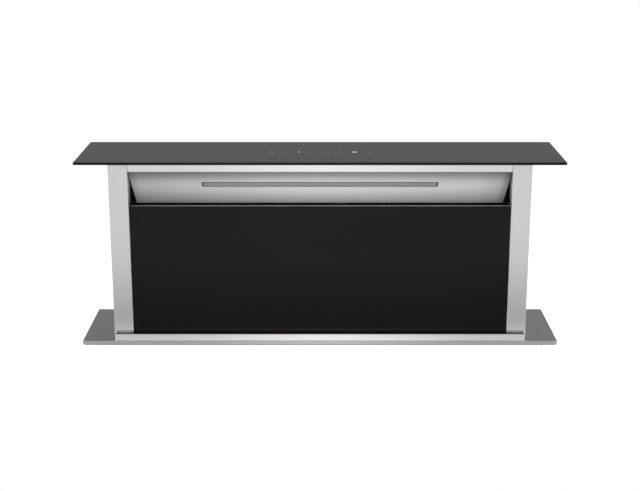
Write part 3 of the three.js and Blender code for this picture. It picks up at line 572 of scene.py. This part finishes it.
# ======== inlet, scroll and impeller
# Air leaves the well through a spun inlet ring into a spiral case of thin galvanised sheet. A
# caged impeller with 24 blades turns in it, on a disc that is pressed on the motor's shaft.
case_sheet = spangled("scroll_galvanised_sheet", (0.41, 0.425, 0.435), 0.36, crystal=0.007, contrast=0.11)
blade_sheet = finish("impeller_sheet", (0.47, 0.48, 0.49), 0.36, 1.0, stretch=(1, 0.08, 1), size=0.0012,
                     swing=0.08, depth=0.00001, cloud=0.03)
dress("inlet_ring", case_sheet, 0.25 * MM)
dress("scroll", case_sheet, 0.3 * MM)
dress("impeller_blades", blade_sheet, 0.2 * MM, angle=40)
dress("impeller_disc", blade_sheet, 0.3 * MM)
seam_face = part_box("scroll")[0].y
spots = [(x * MM, seam_face, z * MM)
         for x, z in ((-190, 352), (-120, 352), (-60, 344), (-190, 268), (-125, 268))]
rivets("scroll_seam_rivets", spots, (0, -1, 0), radius=2.2 * MM, high=0.8 * MM)

# ======== blower motor
# An external-rotor motor in a cast case, painted black. Its flange is screwed to the scroll's
# front sheet, and thin cooling ribs are cast round the case.
motor_paint = finish("motor_black_paint", (0.016, 0.016, 0.017), 0.46, 0.0, size=0.0011, swing=0.2,
                     gloss_swing=0.08, depth=0.00005)
MOTOR_CAP = in_mm((30, 0.05), (30, -1.4), (27, -1.9), (10, -1.9), (8.5, -0.9), (0, -0.9))
FLANGE_SCREWS, FLANGE_BACK, RIB_STEP = 56 * MM, 12 * MM, 2.4
dress("blower_motor", motor_paint, 0.6 * MM)
low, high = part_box("blower_motor")
axle_z = (low.z + high.z) / 2
motor_at = at(((low.x + high.x) / 2, low.y, axle_z), (0, 1, 0))
shape = bmesh.new()
for height in [RIB_STEP * k for k in range(1, 5)]:
    rib = in_mm((49.6, height - 0.9), (51.2, height - 0.5), (51.2, height + 0.5), (49.6, height + 0.9))
    lathe(shape, rib, motor_at, 64)
lathe(shape, MOTOR_CAP, motor_at, 48)
make("blower_motor_ribs", shape, motor_paint, "housing", angle=35)
spots = [(FLANGE_SCREWS * math.cos(a), low.y + FLANGE_BACK, axle_z + FLANGE_SCREWS * math.sin(a))
         for a in [math.radians(45 + 90 * k) for k in range(4)]]
sunk_screws("blower_motor_screws", spots, (0, -1, 0), 3.4 * MM, 1.2 * MM)

# ======== duct collar and flaps
# A 150 mm collar of rolled galvanised sheet takes the duct. A bead stops the duct, six screws hold
# the flange, and two sprung aluminium flaps on one upright pin keep cold air out.
COLLAR_RADIUS, COLLAR_SCREWS, COLLAR_FLANGE = 74.9 * MM, 79.6 * MM, 1.5 * MM
dress("duct_collar", galvanised, 0.35 * MM)
low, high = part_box("duct_collar")
middle = (low + high) / 2
collar_at = at((high.x, middle.y, middle.z), (-1, 0, 0))
shape = bmesh.new()
for away, wide, rise in in_mm((16, 5, 1.6), (80, 6, 1.3)):
    profile = [(COLLAR_RADIUS + rise * math.sin(math.pi * k / 6) ** 0.8, away + wide * (k / 6 - 0.5))
               for k in range(7)]
    lathe(shape, profile, collar_at, 72)
make("duct_collar_beads", shape, galvanised, "housing", angle=50)
turns = [math.radians(30 + 60 * k) for k in range(6)]
spots = [(high.x - COLLAR_FLANGE, middle.y + COLLAR_SCREWS * math.cos(a),
          middle.z + COLLAR_SCREWS * math.sin(a)) for a in turns]
sunk_screws("duct_collar_screws", spots, (-1, 0, 0), 3.4 * MM, 1.3 * MM)
seam_z = low.z + 9 * MM
seam = [((low.x + 5 * MM, middle.y, seam_z), (high.x - 22 * MM, middle.y, seam_z))]
beads("duct_collar_seam", seam, (0, 0, -1), 9 * MM, 0.7 * MM)
flap_metal = finish("mill_aluminium", (0.60, 0.61, 0.62), 0.38, 1.0, stretch=(1, 1, 0.03), size=0.0009,
                    swing=0.05, depth=0.000008, cloud=0.06)
dress("flap_front", flap_metal, 0.2 * MM)
dress("flap_rear", flap_metal, 0.2 * MM)

# ======== control box
# The electronics sit in a moulded black box screwed to the well. Its lid has raised cooling
# louvres and four screws, and the mains cable enters from below through a ribbed gland.
moulded_black = finish("moulded_black_plastic", (0.018, 0.018, 0.020), 0.5, 0.0, size=0.0009, swing=0.15,
                       gloss_swing=0.08, depth=0.00004, cloud=0.05)
gland_black = finish("gland_nylon", (0.014, 0.014, 0.015), 0.38, 0.0, size=0.0014, swing=0.15,
                     depth=0.00001)
dress("control_box", moulded_black, 0.8 * MM)
dress("control_box_lid", moulded_black, 0.7 * MM)
dress("cable_gland", gland_black, 0.4 * MM)


def rounded_outline(long, wide, corner, steps):
    """Points round a rectangle with rounded corners, about its middle."""
    points = []
    for cx, cy, start in ((1, 1, 0), (-1, 1, 90), (-1, -1, 180), (1, -1, 270)):
        for k in range(steps + 1):
            a = math.radians(start + 90 * k / steps)
            points.append((cx * (long / 2 - corner) + corner * math.cos(a),
                           cy * (wide / 2 - corner) + corner * math.sin(a)))
    return points


def rounded_bar(shape, place, long, wide, corner, low, high, look=0, steps=6, hole=None):
    """A bar with rounded corners, or with a hole, given by the width of its rim and its corner."""
    def level(inset, radius, height):
        outline = rounded_outline(long - 2 * inset, wide - 2 * inset, radius, steps)
        return [shape.verts.new(place @ Vector((x, y, height))) for x, y in outline]

    rings = [level(0, corner, low), level(0, corner, high)]
    if hole:
        rings = [level(*hole, low), *rings, level(*hole, high)]
        rings.append(rings[0])
    bands(shape, rings, look, caps=not hole)


LOUVRES, LOUVRE_STEP, LOUVRE_PROUD = 9, 9 * MM, 2.0 * MM
facing_cook = Matrix.Rotation(math.pi / 2, 4, "X")
low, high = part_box("control_box_lid")
middle = (low + high) / 2
shape = bmesh.new()
for k in range(LOUVRES):
    place = Matrix.Translation((middle.x, low.y, high.z - 34 * MM - LOUVRE_STEP * k)) @ facing_cook
    rounded_bar(shape, place, 74 * MM, 3.6 * MM, 1.7 * MM, -0.3 * MM, LOUVRE_PROUD, steps=4)
place = Matrix.Translation((middle.x, low.y, low.z + 26 * MM)) @ facing_cook
rounded_bar(shape, place, 70 * MM, 24 * MM, 3 * MM, -0.3 * MM, 1.2 * MM, hole=(1.8 * MM, 2 * MM))
make("control_box_louvres", shape, moulded_black, "housing", width=0.3 * MM, angle=30)
spots = [(middle.x + sx * 52 * MM, low.y, middle.z + sz * 72 * MM) for sx in (-1, 1) for sz in (-1, 1)]
sunk_screws("control_box_screws", spots, (0, -1, 0), 3.2 * MM, 1.0 * MM)

GLAND_RIBS = 18
low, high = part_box("cable_gland")
gland_foot = Matrix.Translation(((low.x + high.x) / 2, (low.y + high.y) / 2, low.z))
rib_at = Matrix.Translation((8.6 * MM, 0, 7.5 * MM)) @ Matrix.Rotation(math.pi / 2, 4, "Y")
shape = bmesh.new()
for k in range(GLAND_RIBS):
    place = gland_foot @ Matrix.Rotation(2 * math.pi * k / GLAND_RIBS, 4, "Z") @ rib_at
    rounded_bar(shape, place, 11 * MM, 1.5 * MM, 0.7 * MM, -0.4 * MM, 0.75 * MM, steps=3)
make("cable_gland_ribs", shape, gland_black, "housing", width=0.2 * MM, angle=30)

# ======== worktop clamps
# Each clamp is a zinc-plated angle bolted to the well's side. An M6 screw with a swivel pad runs
# through its ledge and is locked by a nut, and pulls the flange down on the worktop.
CLAMP_SHEET, CLAMP_LEG, WEB_SHEET = 2 * MM, 50 * MM, 1.4 * MM
WEB_LONG, WEB_HIGH, LEDGE_UP, SCREW_OUT = 14 * MM, 16 * MM, 12.5 * MM, 23 * MM
M6 = {"radius": 3 * MM, "depth": 0.5 * MM, "pitch": 1.0 * MM}
WASHER = in_mm((0, 0), (6, 0), (6, 0.9), (0, 0.9))
for side, sign in SIDES:
    node = f"worktop_clamp_{side}"
    low, high, far = outer_face(node, sign)
    near = high.x if sign < 0 else low.x
    mid_y = (low.y + high.y) / 2
    ledge_low = low.z + LEDGE_UP
    ledge_top = ledge_low + CLAMP_SHEET
    leg_high = ledge_low + CLAMP_LEG
    leg_face = near + sign * CLAMP_SHEET
    shape = bmesh.new()
    outline = [(near, leg_high), (leg_face, leg_high), (leg_face, ledge_top), (far, ledge_top),
               (far, ledge_low), (near, ledge_low)]
    ends = [[shape.verts.new((x, y, z)) for x, z in outline] for y in (low.y, high.y)]
    bands(shape, ends)
    for cut in ends:
        shape.faces.new([cut[0], cut[1], cut[2], cut[5]])
        shape.faces.new(cut[2:])
    web = [(leg_face, ledge_top), (leg_face + sign * WEB_LONG, ledge_top),
           (leg_face, ledge_top + WEB_HIGH)]
    for y in (low.y + 3 * MM, high.y - 4.4 * MM):
        bands(shape, [[shape.verts.new((x, face_y, z)) for x, z in web] for face_y in (y, y + WEB_SHEET)],
              caps=True)
    make(f"{node}_angle", shape, zinc, "housing", width=0.5 * MM, stands_for=[node])
    place = at((near + sign * SCREW_OUT, mid_y, low.z))
    top = high.z - low.z
    shape = bmesh.new()
    thread(shape, place, 0.4 * MM, top - 2.4 * MM, **M6)
    hexagon(shape, place, 10 * MM, 14.6 * MM, 17.6 * MM)
    hexagon(shape, place, 5.6 * MM, 0.0, 2.2 * MM)
    pad = [(0, 3), (6.6, 3), (7.6, 2.2), (8, 0.6), (7.6, 0), (0, 0)]
    lathe(shape, [(radius * MM, top - down * MM) for radius, down in pad], place, 40)
    make(f"{node}_screw", shape, screw_steel, "housing", angle=35)
    shape = bmesh.new()
    for y in (mid_y - 11 * MM, mid_y + 11 * MM):
        place = at((leg_face, y, leg_high - 12 * MM), (sign, 0, 0))
        lathe(shape, WASHER, place, 32)
        hexagon(shape, place, 8 * MM, 0.9 * MM, 4.6 * MM)
    make(f"{node}_bolts", shape, screw_steel, "housing", angle=35)

# ======== guides, screws and lift motors
# Two aluminium channels guide the tower, and a four-start screw in each end of the well lifts it.
# A worm gearbox with a small motor turns each screw, and a moulded bearing holds its upper end.
rail_alu = finish("drawn_aluminium", (0.60, 0.615, 0.625), 0.36, 1.0, stretch=(1, 1, 0.01), size=0.0009,
                  swing=0.06, depth=0.000008, cloud=0.2)
bearing_black = finish("bearing_plastic", (0.016, 0.016, 0.017), 0.45, 0.0, size=0.0012, swing=0.15,
                       depth=0.00003)
cast_zinc = finish("gearbox_cast_zinc", (0.46, 0.465, 0.47), 0.48, 0.9, size=0.0022, swing=0.12,
                   gloss_swing=0.1, depth=0.00006, cloud=0.03)
oiled_steel = finish("oiled_screw_steel", (0.40, 0.40, 0.41), 0.24, 1.0, size=0.0016, swing=0.12,
                     gloss_swing=0.08, depth=0.00001)
LIFT_THREAD = {"radius": 5 * MM, "depth": 0.9 * MM, "pitch": 5 * MM, "starts": 4, "steps": 28}
MOTOR_END = in_mm((7, 0.05), (7, -1.4), (6, -2), (2.4, -2), (2.4, -1.2), (0, -1.2))
SCREW_FOOT = in_mm((0, 0), (3.9, 0), (4.2, 0.3), (4.2, 12), (3.6, 12.6))
for side, sign in SIDES:
    dress(f"guide_rail_{side}", rail_alu, 0.3 * MM)
    dress(f"screw_bearing_{side}", bearing_black, 0.8 * MM)
    dress(f"lift_motor_{side}", cast_zinc, 0.9 * MM)
    low, high, outside = outer_face(f"lift_motor_{side}", sign)
    middle = (low + high) / 2
    gearbox_x = outside - sign * 29.5 * MM
    spots = [(gearbox_x + sx * 23 * MM, low.y, middle.z + sz * 21 * MM)
             for sx in (-1, 1) for sz in (-1, 1)]
    sunk_screws(f"lift_motor_screws_{side}", spots, (0, -1, 0), 3 * MM, 1.0 * MM)
    can_at = at((low.x if sign > 0 else high.x, middle.y, middle.z), (sign, 0, 0))
    shape = bmesh.new()
    for away in (6, 78):
        band = in_mm((17.9, away - 1.2), (18.7, away - 0.8), (18.7, away + 0.8), (17.9, away + 1.2))
        lathe(shape, band, can_at, 48)
    lathe(shape, MOTOR_END, can_at, 32)
    make(f"lift_motor_bands_{side}", shape, cast_zinc, "housing", angle=35)
    low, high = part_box(f"lift_screw_{side}")
    place = at(((low.x + high.x) / 2, (low.y + high.y) / 2, low.z))
    long = high.z - low.z
    shape = bmesh.new()
    lathe(shape, SCREW_FOOT, place, 24)
    thread(shape, place, 12 * MM, long - 19 * MM, **LIFT_THREAD)
    head = [(3.6, 19.4), (4.2, 18.6), (4.2, 0.5), (3.7, 0), (0, 0)]
    lathe(shape, [(radius * MM, long - down * MM) for radius, down in head], place, 24)
    make(f"lift_screw_threaded_{side}", shape, oiled_steel, f"screw_{side}",
         angle=50, stands_for=[f"lift_screw_{side}"])

# ======== lift nuts and glides
# The tower hangs on two nuts moulded in natural slide-bearing plastic, and runs in the channels
# on two long glides of the same plastic, screwed to its sides.
slide_plastic = finish("slide_bearing_plastic", (0.70, 0.70, 0.66), 0.42, 0.0, size=0.002, swing=0.03,
                       gloss_swing=0.06, depth=0.00002, cloud=0.03, **{"Subsurface Weight": 0.08})
for side, sign in SIDES:
    dress(f"lift_nut_{side}", slide_plastic, 0.9 * MM)
    dress(f"glide_bar_{side}", slide_plastic, 0.6 * MM)


# ======== worktop flange
# A tray of 1.5 mm stainless sheet with folded-down edges and an opening for the tower. It lies on
# the worktop on a foam-rubber seal, and its upper face is brushed along its length.
def brushed(name, colour, rough, stretch=(0.012, 1, 1), size=0.0007, swing=0.05):
    """Stainless steel with brushing drawn out along one axis and a faint slow unevenness."""
    return finish(name, colour, rough, 1.0, stretch=stretch, size=size, swing=swing, depth=0.000006,
                  cloud=0.35)


# The flange's stainless steel is coloured well below the rails' and stiles': painted shade for the dim
# surroundings that its upper face reflects.
flange_steel_painted_shade = brushed("flange_brushed_steel_painted_shade", (0.328, 0.324, 0.334), 0.34)
foam_seal = finish("foam_seal", (0.016, 0.016, 0.017), 0.9, 0.0, size=0.0009, swing=0.3, depth=0.00008)
dress("worktop_flange", flange_steel_painted_shade, 0.55 * MM)
dress("worktop_seal", foam_seal, 0.3 * MM)

# ======== front rail and wiper
# A strip of the same stainless sheet stands on the flange's front edge, and a rubber wiper
# behind it closes the slot to the tower and keeps crumbs out of the well.
rail_steel = brushed("rail_brushed_steel", (0.545, 0.535, 0.540), 0.32)
wiper_rubber = finish("wiper_rubber", (0.014, 0.014, 0.014), 0.62, 0.0, stretch=(0.05, 1, 1), size=0.0012,
                      swing=0.25, gloss_swing=0.12, depth=0.00003)
dress("front_rail", rail_steel, 0.45 * MM)
dress("front_wiper", wiper_rubber, 0.5 * MM)


# ======== tower base, sides and back
# The tower's hidden faces are galvanised sheet: a folded base ring, two side panels and a back
# plate with a fold at each side. They are riveted together and stiffened by beads, and their inner faces
# are coloured black as painted shade for the dark inside of the tower.
def painted_shade_inside(look, side_face, back_face):
    """Colours a sheet black but for the faces on the outside, at those places in x and y, as painted
    shade for the inside of the tower.
    """
    tree = look.node_tree
    shader = tree.nodes["Principled BSDF"]
    place = own_place(tree)
    at_side = reckon(tree, "GREATER_THAN", reckon(tree, "ABSOLUTE", place["X"]), side_face - 0.4 * MM)
    at_back = reckon(tree, "GREATER_THAN", place["Y"], back_face - 0.4 * MM)
    outside = reckon(tree, "MAXIMUM", at_side, at_back)
    bare = shader.inputs["Base Color"].links[0].from_socket
    layer = add(tree, "ShaderNodeMix", {"Factor": outside, "A": (0.012, 0.012, 0.012, 1), "B": bare},
                data_type="RGBA")
    fill(tree, shader, {"Base Color": layer.outputs["Result"], "Metallic": outside})


dress("tower_base", galvanised, 0.6 * MM)
back_low, back_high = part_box("tower_back")
back = back_high.y
tower_sheet_painted_shade = spangled("tower_galvanised_sheet_painted_shade", (0.43, 0.44, 0.45), 0.33, crystal=0.009, contrast=0.10)
# Painted shade: the tower's inner faces are coloured black.
painted_shade_inside(tower_sheet_painted_shade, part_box("tower_side_right")[1].x, back)
for node in ("tower_side_left", "tower_side_right", "tower_back"):
    dress(node, tower_sheet_painted_shade, 0.35 * MM)
lines = [((x * MM, back, back_low.z + 95 * MM), (x * MM, back, back_high.z - 150 * MM))
         for x in (-270, -90, 90, 270)]
beads("tower_back_beads", lines, (0, 1, 0), 14 * MM, 2.0 * MM, "tower", tower_sheet_painted_shade)
rivet_rows = [back_low.z + (12 + 69.5 * k) * MM for k in range(8)]
spots = [(s * 377 * MM, back, z) for s in (-1, 1) for z in rivet_rows]
spots += [(x * MM, back, back_low.z + 10 * MM) for x in range(-300, 301, 100)]
rivets("tower_back_rivets", spots, (0, 1, 0), "tower")
for side, sign in SIDES:
    low, high, face = outer_face(f"tower_side_{side}", sign)
    spots = [(face, y, z) for y in (low.y + 27 * MM, high.y - 26 * MM) for z in rivet_rows]
    rivets(f"tower_side_rivets_{side}", spots, (sign, 0, 0), "tower", radius=2.2 * MM, high=0.8 * MM)

# ======== stiles
# Two stainless uprights, each folded from one sheet, frame the glass front. Their faces are
# brushed along their length, and two pegs on the inner fold of each carry the front panel.
stile_steel = brushed("stile_brushed_steel", (0.575, 0.560, 0.565), 0.30, stretch=(1, 1, 0.012),
                      size=0.0008, swing=0.035)
dress("stile_left", stile_steel, 0.7 * MM)
dress("stile_right", stile_steel, 0.7 * MM)

# ======== top rail
# A stainless rail closes the front between the stiles under the lid. It is folded back at the
# top and brushed along its length, and the baffle is spot-welded behind its lower edge.
# The top rail's steel is coloured lighter than the stiles': partly painted highlight for the bright
# reflection along the rail.
top_steel_painted_highlight = brushed("top_rail_brushed_steel_painted_highlight", (0.63, 0.615, 0.62), 0.30)
dress("top_rail", top_steel_painted_highlight, 0.6 * MM)


# ======== baffle and light
# The intake's ceiling is a stainless sheet that slopes down and back, with painted shade under the
# top rail, near its lower fold and at its ends. A long LED light is set in it: an aluminium profile round
# a frosted cover, unlit.
def painted_edge_shade(look, axis, edge, reach, share):
    """Paints shade into a finish near an edge: a share of its colour at the edge, all of it past the
    reach.
    """
    tree = look.node_tree
    shader = tree.nodes["Principled BSDF"]
    tone = ranged(tree, own_place(tree)[axis], share, 1, edge, edge + reach, "SMOOTHSTEP")
    colour = shader.inputs["Base Color"].links[0].from_socket
    with_painted_shade = add(tree, "ShaderNodeMix", {"Factor": 1.0, "A": colour, "B": tone}, data_type="RGBA",
                 blend_type="MULTIPLY")
    fill(tree, shader, {"Base Color": with_painted_shade.outputs["Result"]})


baffle_steel_painted_shade = finish("baffle_satin_steel_painted_shade", (0.757, 0.740, 0.745), 0.48, 0.12, stretch=(0.012, 1, 1),
                      size=0.0007, swing=0.04, depth=0.000005, cloud=0.3)
low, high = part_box("baffle")
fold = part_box("top_rail")[0].z
# Painted shade on the baffle: deepest just under the top rail, milder near its lower edge and at both
# ends, the right end more than the left.
for axis, edge, reach, share in (("Z", fold, -42, 0.25), ("Z", low.z + 12 * MM, 26, 0.75),
                                 ("X", low.x, 18, 0.80), ("X", low.x, 330, 0.82),
                                 ("X", high.x, -18, 0.50), ("X", high.x, -70, 0.85)):
    painted_edge_shade(baffle_steel_painted_shade, axis, edge, reach * MM, share)
dress("baffle", baffle_steel_painted_shade, 0.4 * MM)

profile_metal = finish("light_profile", (0.20, 0.198, 0.20), 0.45, 0.3, stretch=(0.02, 1, 1), size=0.0008,
                       swing=0.05, depth=0.000005)
frosted = finish("frosted_cover", (0.27, 0.27, 0.268), 0.42, 0.0, size=0.0012, swing=0.06,
                 gloss_swing=0.06, depth=0.00001, cloud=0.05)
BAFFLE_RISE, BAFFLE_RUN = 83.9, 102.7
LIGHT_LONG, LIGHT_WIDE, LIGHT_HALF_THICK = 440 * MM, 18 * MM, 1.75 * MM
PROFILE_WALL, FLANGE_PAST, FLANGE_THICK = 2.6 * MM, 1 * MM, 0.5 * MM
low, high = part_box("light_lens")
slope = math.atan2(BAFFLE_RISE, BAFFLE_RUN)
place = Matrix.Translation((low + high) / 2) @ Matrix.Rotation(-slope, 4, "X")
outer, inner = -LIGHT_HALF_THICK, LIGHT_HALF_THICK
shape = bmesh.new()
rounded_bar(shape, place, LIGHT_LONG, LIGHT_WIDE, 1.5 * MM, outer, inner, hole=(2.4 * MM, 1.4 * MM))
rounded_bar(shape, place, LIGHT_LONG + 2 * FLANGE_PAST, LIGHT_WIDE + 2 * FLANGE_PAST, 3 * MM, outer,
            outer + FLANGE_THICK, hole=(3.2 * MM, 2 * MM))
rounded_bar(shape, place, LIGHT_LONG - 2 * PROFILE_WALL, LIGHT_WIDE - 2 * PROFILE_WALL, 1.2 * MM,
            outer + 0.5 * MM, inner - 0.2 * MM, look=1)
make("light_bar", shape, [profile_metal, frosted], "tower", width=0.35 * MM,
     stands_for=["light_lens"])
solder_mask = finish("solder_mask", (0.018, 0.085, 0.042), 0.45, 0.0, size=0.0018, swing=0.25, cloud=0.01)
dress("light_board", solder_mask, 0.0)


# ======== front glass
# A pane of black toughened glass, 5 mm thick with ground and polished edges, glued to a painted
# steel frame. Four hooks on the frame hang on the stiles' pegs, so the panel lifts off to clean.
def black_glass(name, tint, edge):
    """Black glass: a deep shine and a trace of wiping marks."""
    look, tree, shader = new_look(name)
    wipes = ranged(tree, streaks(tree, (0.35, 1, 0.8), 0.05, 3.0), 0, 1)
    fill(tree, shader, {"IOR": edge, "Base Color": shaded(tree, wipes, tint, 0.06),
                        "Roughness": ranged(tree, wipes, 0.035, 0.075, 0, 1)})
    relief(tree, streaks(tree, EVEN, 0.11, 1.0), 0.00001, shader)
    return look


def pane(name, node, body, low, high, chamfer, corner, looks, chamfer_look, upright):
    """A pane with rounded corners, where the edges' own finish may take in the chamfers too."""
    long, wide, thick = high - low
    place = Matrix.Translation((low + high) / 2)
    if upright:
        wide, thick = thick, wide
        place = place @ Matrix.Rotation(math.pi / 2, 4, "X")
    shape = bmesh.new()
    rings = []
    for inset, height in ((chamfer, -thick / 2), (0, -thick / 2 + chamfer), (0, thick / 2 - chamfer),
                          (chamfer, thick / 2)):
        outline = rounded_outline(long - 2 * inset, wide - 2 * inset, corner - inset, 4)
        rings.append([shape.verts.new(place @ Vector((x, y, height))) for x, y in outline])
    for k, edge_look in enumerate((chamfer_look, 1, chamfer_look)):
        bands(shape, rings[k:k + 2], edge_look)
    shape.faces.new(rings[0][::-1])
    shape.faces.new(rings[-1])
    make(name, shape, looks, body, width=0.15 * MM, angle=25, stands_for=[node])


pane_glass = black_glass("front_black_glass", (0.0037, 0.0031, 0.0027), 1.20)
# The pale grey of the ground edges is partly their own colour and partly painted highlight, for the lit
# arris at the top of the pane.
ground_edge_and_highlight = finish("ground_glass_edge_and_highlight", (0.31, 0.31, 0.31), 0.28, 0.0, stretch=(0.05, 1, 1), size=0.001,
                     swing=0.15, depth=0.000004)
satin_black = finish("satin_black_paint", (0.014, 0.014, 0.015), 0.42, 0.0, size=0.0016, swing=0.2,
                     gloss_swing=0.06, depth=0.00003)
dress("front_panel_frame", satin_black, 0.4 * MM)
low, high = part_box("front_glass")
pane("front_glass_pane", "front_glass", "front_panel", low, high, 0.4 * MM, 1.2 * MM,
     [pane_glass, ground_edge_and_highlight], chamfer_look=0, upright=True)

# ======== lid
# A slab of black glass, 5 mm thick with polished edges, glued to a galvanised carrier plate that
# closes the tower. The touch board behind the glass reads the finger through it.
lid_glass = black_glass("lid_black_glass", (0.0075, 0.0072, 0.0073), 1.22)
lid_edge = finish("lid_glass_edge", (0.006, 0.006, 0.0062), 0.22, 0.0, stretch=(0.05, 1, 1), size=0.001,
                  swing=0.15, depth=0.000004, IOR=1.14)
MARK_THICK = 0.03 * MM
low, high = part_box("glass_lid")
high.z -= MARK_THICK
pane("glass_lid_slab", "glass_lid", "tower", low, high, 0.9 * MM, 2.5 * MM, [lid_glass, lid_edge],
     chamfer_look=1, upright=False)
dress("lid_carrier", galvanised, 0.3 * MM)
dress("touch_board", solder_mask, 0.0)

# ======== touch marks
# Plain touch-key signs screen-printed in grey and white ceramic ink on the lid: a chevron for the
# lift, a dot, dashes, plain rings and a bar. None of them is lettering.
inks = [finish("pale_grey_ink", (0.46, 0.46, 0.46), 0.5, 0.0, size=0.0007, swing=0.08, cloud=0.01),
        finish("white_ink", (0.85, 0.85, 0.85), 0.5, 0.0, size=0.0007, swing=0.06, cloud=0.01),
        finish("faint_grey_ink", (0.24, 0.24, 0.24), 0.5, 0.0, size=0.0007, swing=0.1, cloud=0.01)]
PALE, BRIGHT, FAINT = range(3)
MARK_ROW = high.y - 98.2 * MM
MARK_FOOT, MARK_TOP = high.z - 0.005 * MM, high.z + 0.8 * MARK_THICK


def stroke(shape, points, width, ink):
    """A printed line of even width through the points, given in mm from the row's middle."""
    for (x0, y0), (x1, y1) in zip(points, points[1:]):
        run = math.hypot(x1 - x0, y1 - y0)
        ox, oy = -(y1 - y0) / run * width / 2, (x1 - x0) / run * width / 2
        flat = [(x0 + ox, y0 + oy), (x0 - ox, y0 - oy), (x1 - ox, y1 - oy), (x1 + ox, y1 + oy)]
        lower, upper = [[shape.verts.new((x * MM, MARK_ROW + y * MM, z)) for x, y in flat]
                        for z in (MARK_FOOT, MARK_TOP)]
        bands(shape, [lower, upper], ink)
        shape.faces.new(upper).material_index = ink


def arc(x, radius, steps=20, start=0, end=360):
    """Points on a circle, or on part of one, about a place on the row."""
    turns = [math.radians(start + (end - start) * k / steps) for k in range(steps + 1)]
    return [(x + radius * math.cos(a), radius * math.sin(a)) for a in turns]


shape = bmesh.new()
for points, width, ink in (
        ([(-96, -2.2), (-91.7, 1.8), (-87.4, -2.2)], 1.2, PALE),
        ([(-68, -1.6), (-59.5, -1.6)], 0.8, FAINT),
        ([(-68, 1.6), (-59.5, 1.6)], 0.8, FAINT),
        ([(-39.8, -3.4), (-39.8, 3.4)], 3.2, PALE),
        ([(-30.5, 0), (-27, 0)], 0.8, FAINT),
        ([(-21, 0), (-17, 0)], 0.8, FAINT),
        ([(-8.2, 2.8), (-5.7, -2.4), (-3.2, 2.8)], 0.9, FAINT),
        (arc(5.7, 2.8), 0.9, FAINT),
        (arc(16.2, 2.2), 0.9, PALE),
        (arc(27.2, 3.0, 14, 200, 340), 0.9, FAINT),
        ([(36.5, 1.8), (39.4, 1.8), (39.4, -2)], 1.0, PALE),
        ([(60.6, 0), (70.0, 0)], 4.2, BRIGHT),
        ([(62.4, 0), (68.2, 0)], 8.4, BRIGHT),
        ([(62.5, -8.4), (68.1, -8.4)], 1.0, FAINT),
        (arc(93.6, 3.0, 18, 120, 420), 0.9, FAINT),
        ([(93.6, 0.6), (93.6, 4.0)], 0.9, FAINT)):
    stroke(shape, points, width, ink)
make("touch_marks", shape, inks, "tower", angle=60)

# ======== grease filters and their ledge
# Two filters stand aslant behind the glass: a rim folded from aluminium strip, riveted at its
# corners, round layers of expanded aluminium mesh. They rest on a folded ledge and lift out.
mesh_alu = finish("mesh_aluminium", (0.58, 0.59, 0.60), 0.34, 1.0, size=0.0012, swing=0.14,
                  gloss_swing=0.1, depth=0.00002, cloud=0.02)
# The inner mesh layers are drawn as one solid slab in dark grey: painted shade for the depth of mesh
# between the two outer layers.
shaded_inner_layers = finish("inner_layers_painted_shade", (0.17, 0.173, 0.176), 0.6, 0.85, size=0.0026, swing=0.55,
                    gloss_swing=0.15, depth=0.0009, cloud=0.012)
FILTER_TILT = math.radians(55)
FILTER_LONG, FILTER_HALF_THICK, FILTER_RIM = 205 * MM, 4.5 * MM, 12 * MM
CELL_LONG, CELL_WIDE, STRAND, STRAND_LEAN = 6.4 * MM, 3.4 * MM, 0.9 * MM, 0.35 * MM


def expanded_mesh(shape, place, long, wide, height):
    """Strands that zigzag along x and touch their neighbours, slit and drawn from one sheet."""
    rows = int(wide / CELL_WIDE)
    steps = int(long / (CELL_LONG / 2))
    for row in range(rows + 1):
        y0 = -wide / 2 + row * wide / rows
        edges = []
        for k in range(steps + 1):
            x = -long / 2 + k * long / steps
            up = 1 if (k + row) % 2 else -1
            y = min(max(y0 + up * CELL_WIDE / 2, -wide / 2), wide / 2)
            sides = [Vector((x, y + s * STRAND / 2, height - s * up * STRAND_LEAN)) for s in (-1, 1)]
            edges.append([shape.verts.new(place @ spot) for spot in sides])
        for (a, b), (c, d) in zip(edges, edges[1:]):
            shape.faces.new([a, c, d, b])


for side, sign in SIDES:
    node, body = f"grease_filter_{side}", f"filter_{side}"
    low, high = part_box(node)
    wide = high.x - low.x
    place = Matrix.Translation((low + high) / 2) @ Matrix.Rotation(FILTER_TILT, 4, "X")
    shape = bmesh.new()
    rounded_bar(shape, place, wide, FILTER_LONG, 1.5 * MM, -FILTER_HALF_THICK, FILTER_HALF_THICK, steps=3,
                hole=(FILTER_RIM, 3 * MM))
    make(f"{node}_rim", shape, rail_alu, body, width=0.8 * MM, stands_for=[node])
    inner_wide, inner_long = [size - 2 * FILTER_RIM + 2 * MM for size in (wide, FILTER_LONG)]
    shape = bmesh.new()
    # A solid slab in the dark grey of painted shade stands for the inner mesh layers.
    rounded_bar(shape, place, inner_wide, inner_long, 2 * MM, -1.6 * MM, 1.6 * MM, look=1, steps=3)
    for face in (1, -1):
        expanded_mesh(shape, place, inner_wide, inner_long, face * (FILTER_HALF_THICK - 2.0 * MM))
    make(f"{node}_mesh", shape, [mesh_alu, shaded_inner_layers], body, angle=60)
    reach_x, reach_y = wide / 2 - FILTER_RIM / 2, FILTER_LONG / 2 - FILTER_RIM / 2
    spots = [place @ Vector((sx * reach_x, sy * reach_y, FILTER_HALF_THICK))
             for sx in (-1, 1) for sy in (-1, 1)]
    out = place.to_3x3() @ Vector((0, 0, 1))
    rivets(f"{node}_rivets", spots, out, body, radius=2.0 * MM, high=0.7 * MM, look=mesh_alu)
dress("filter_ledge", galvanised, 0.3 * MM)
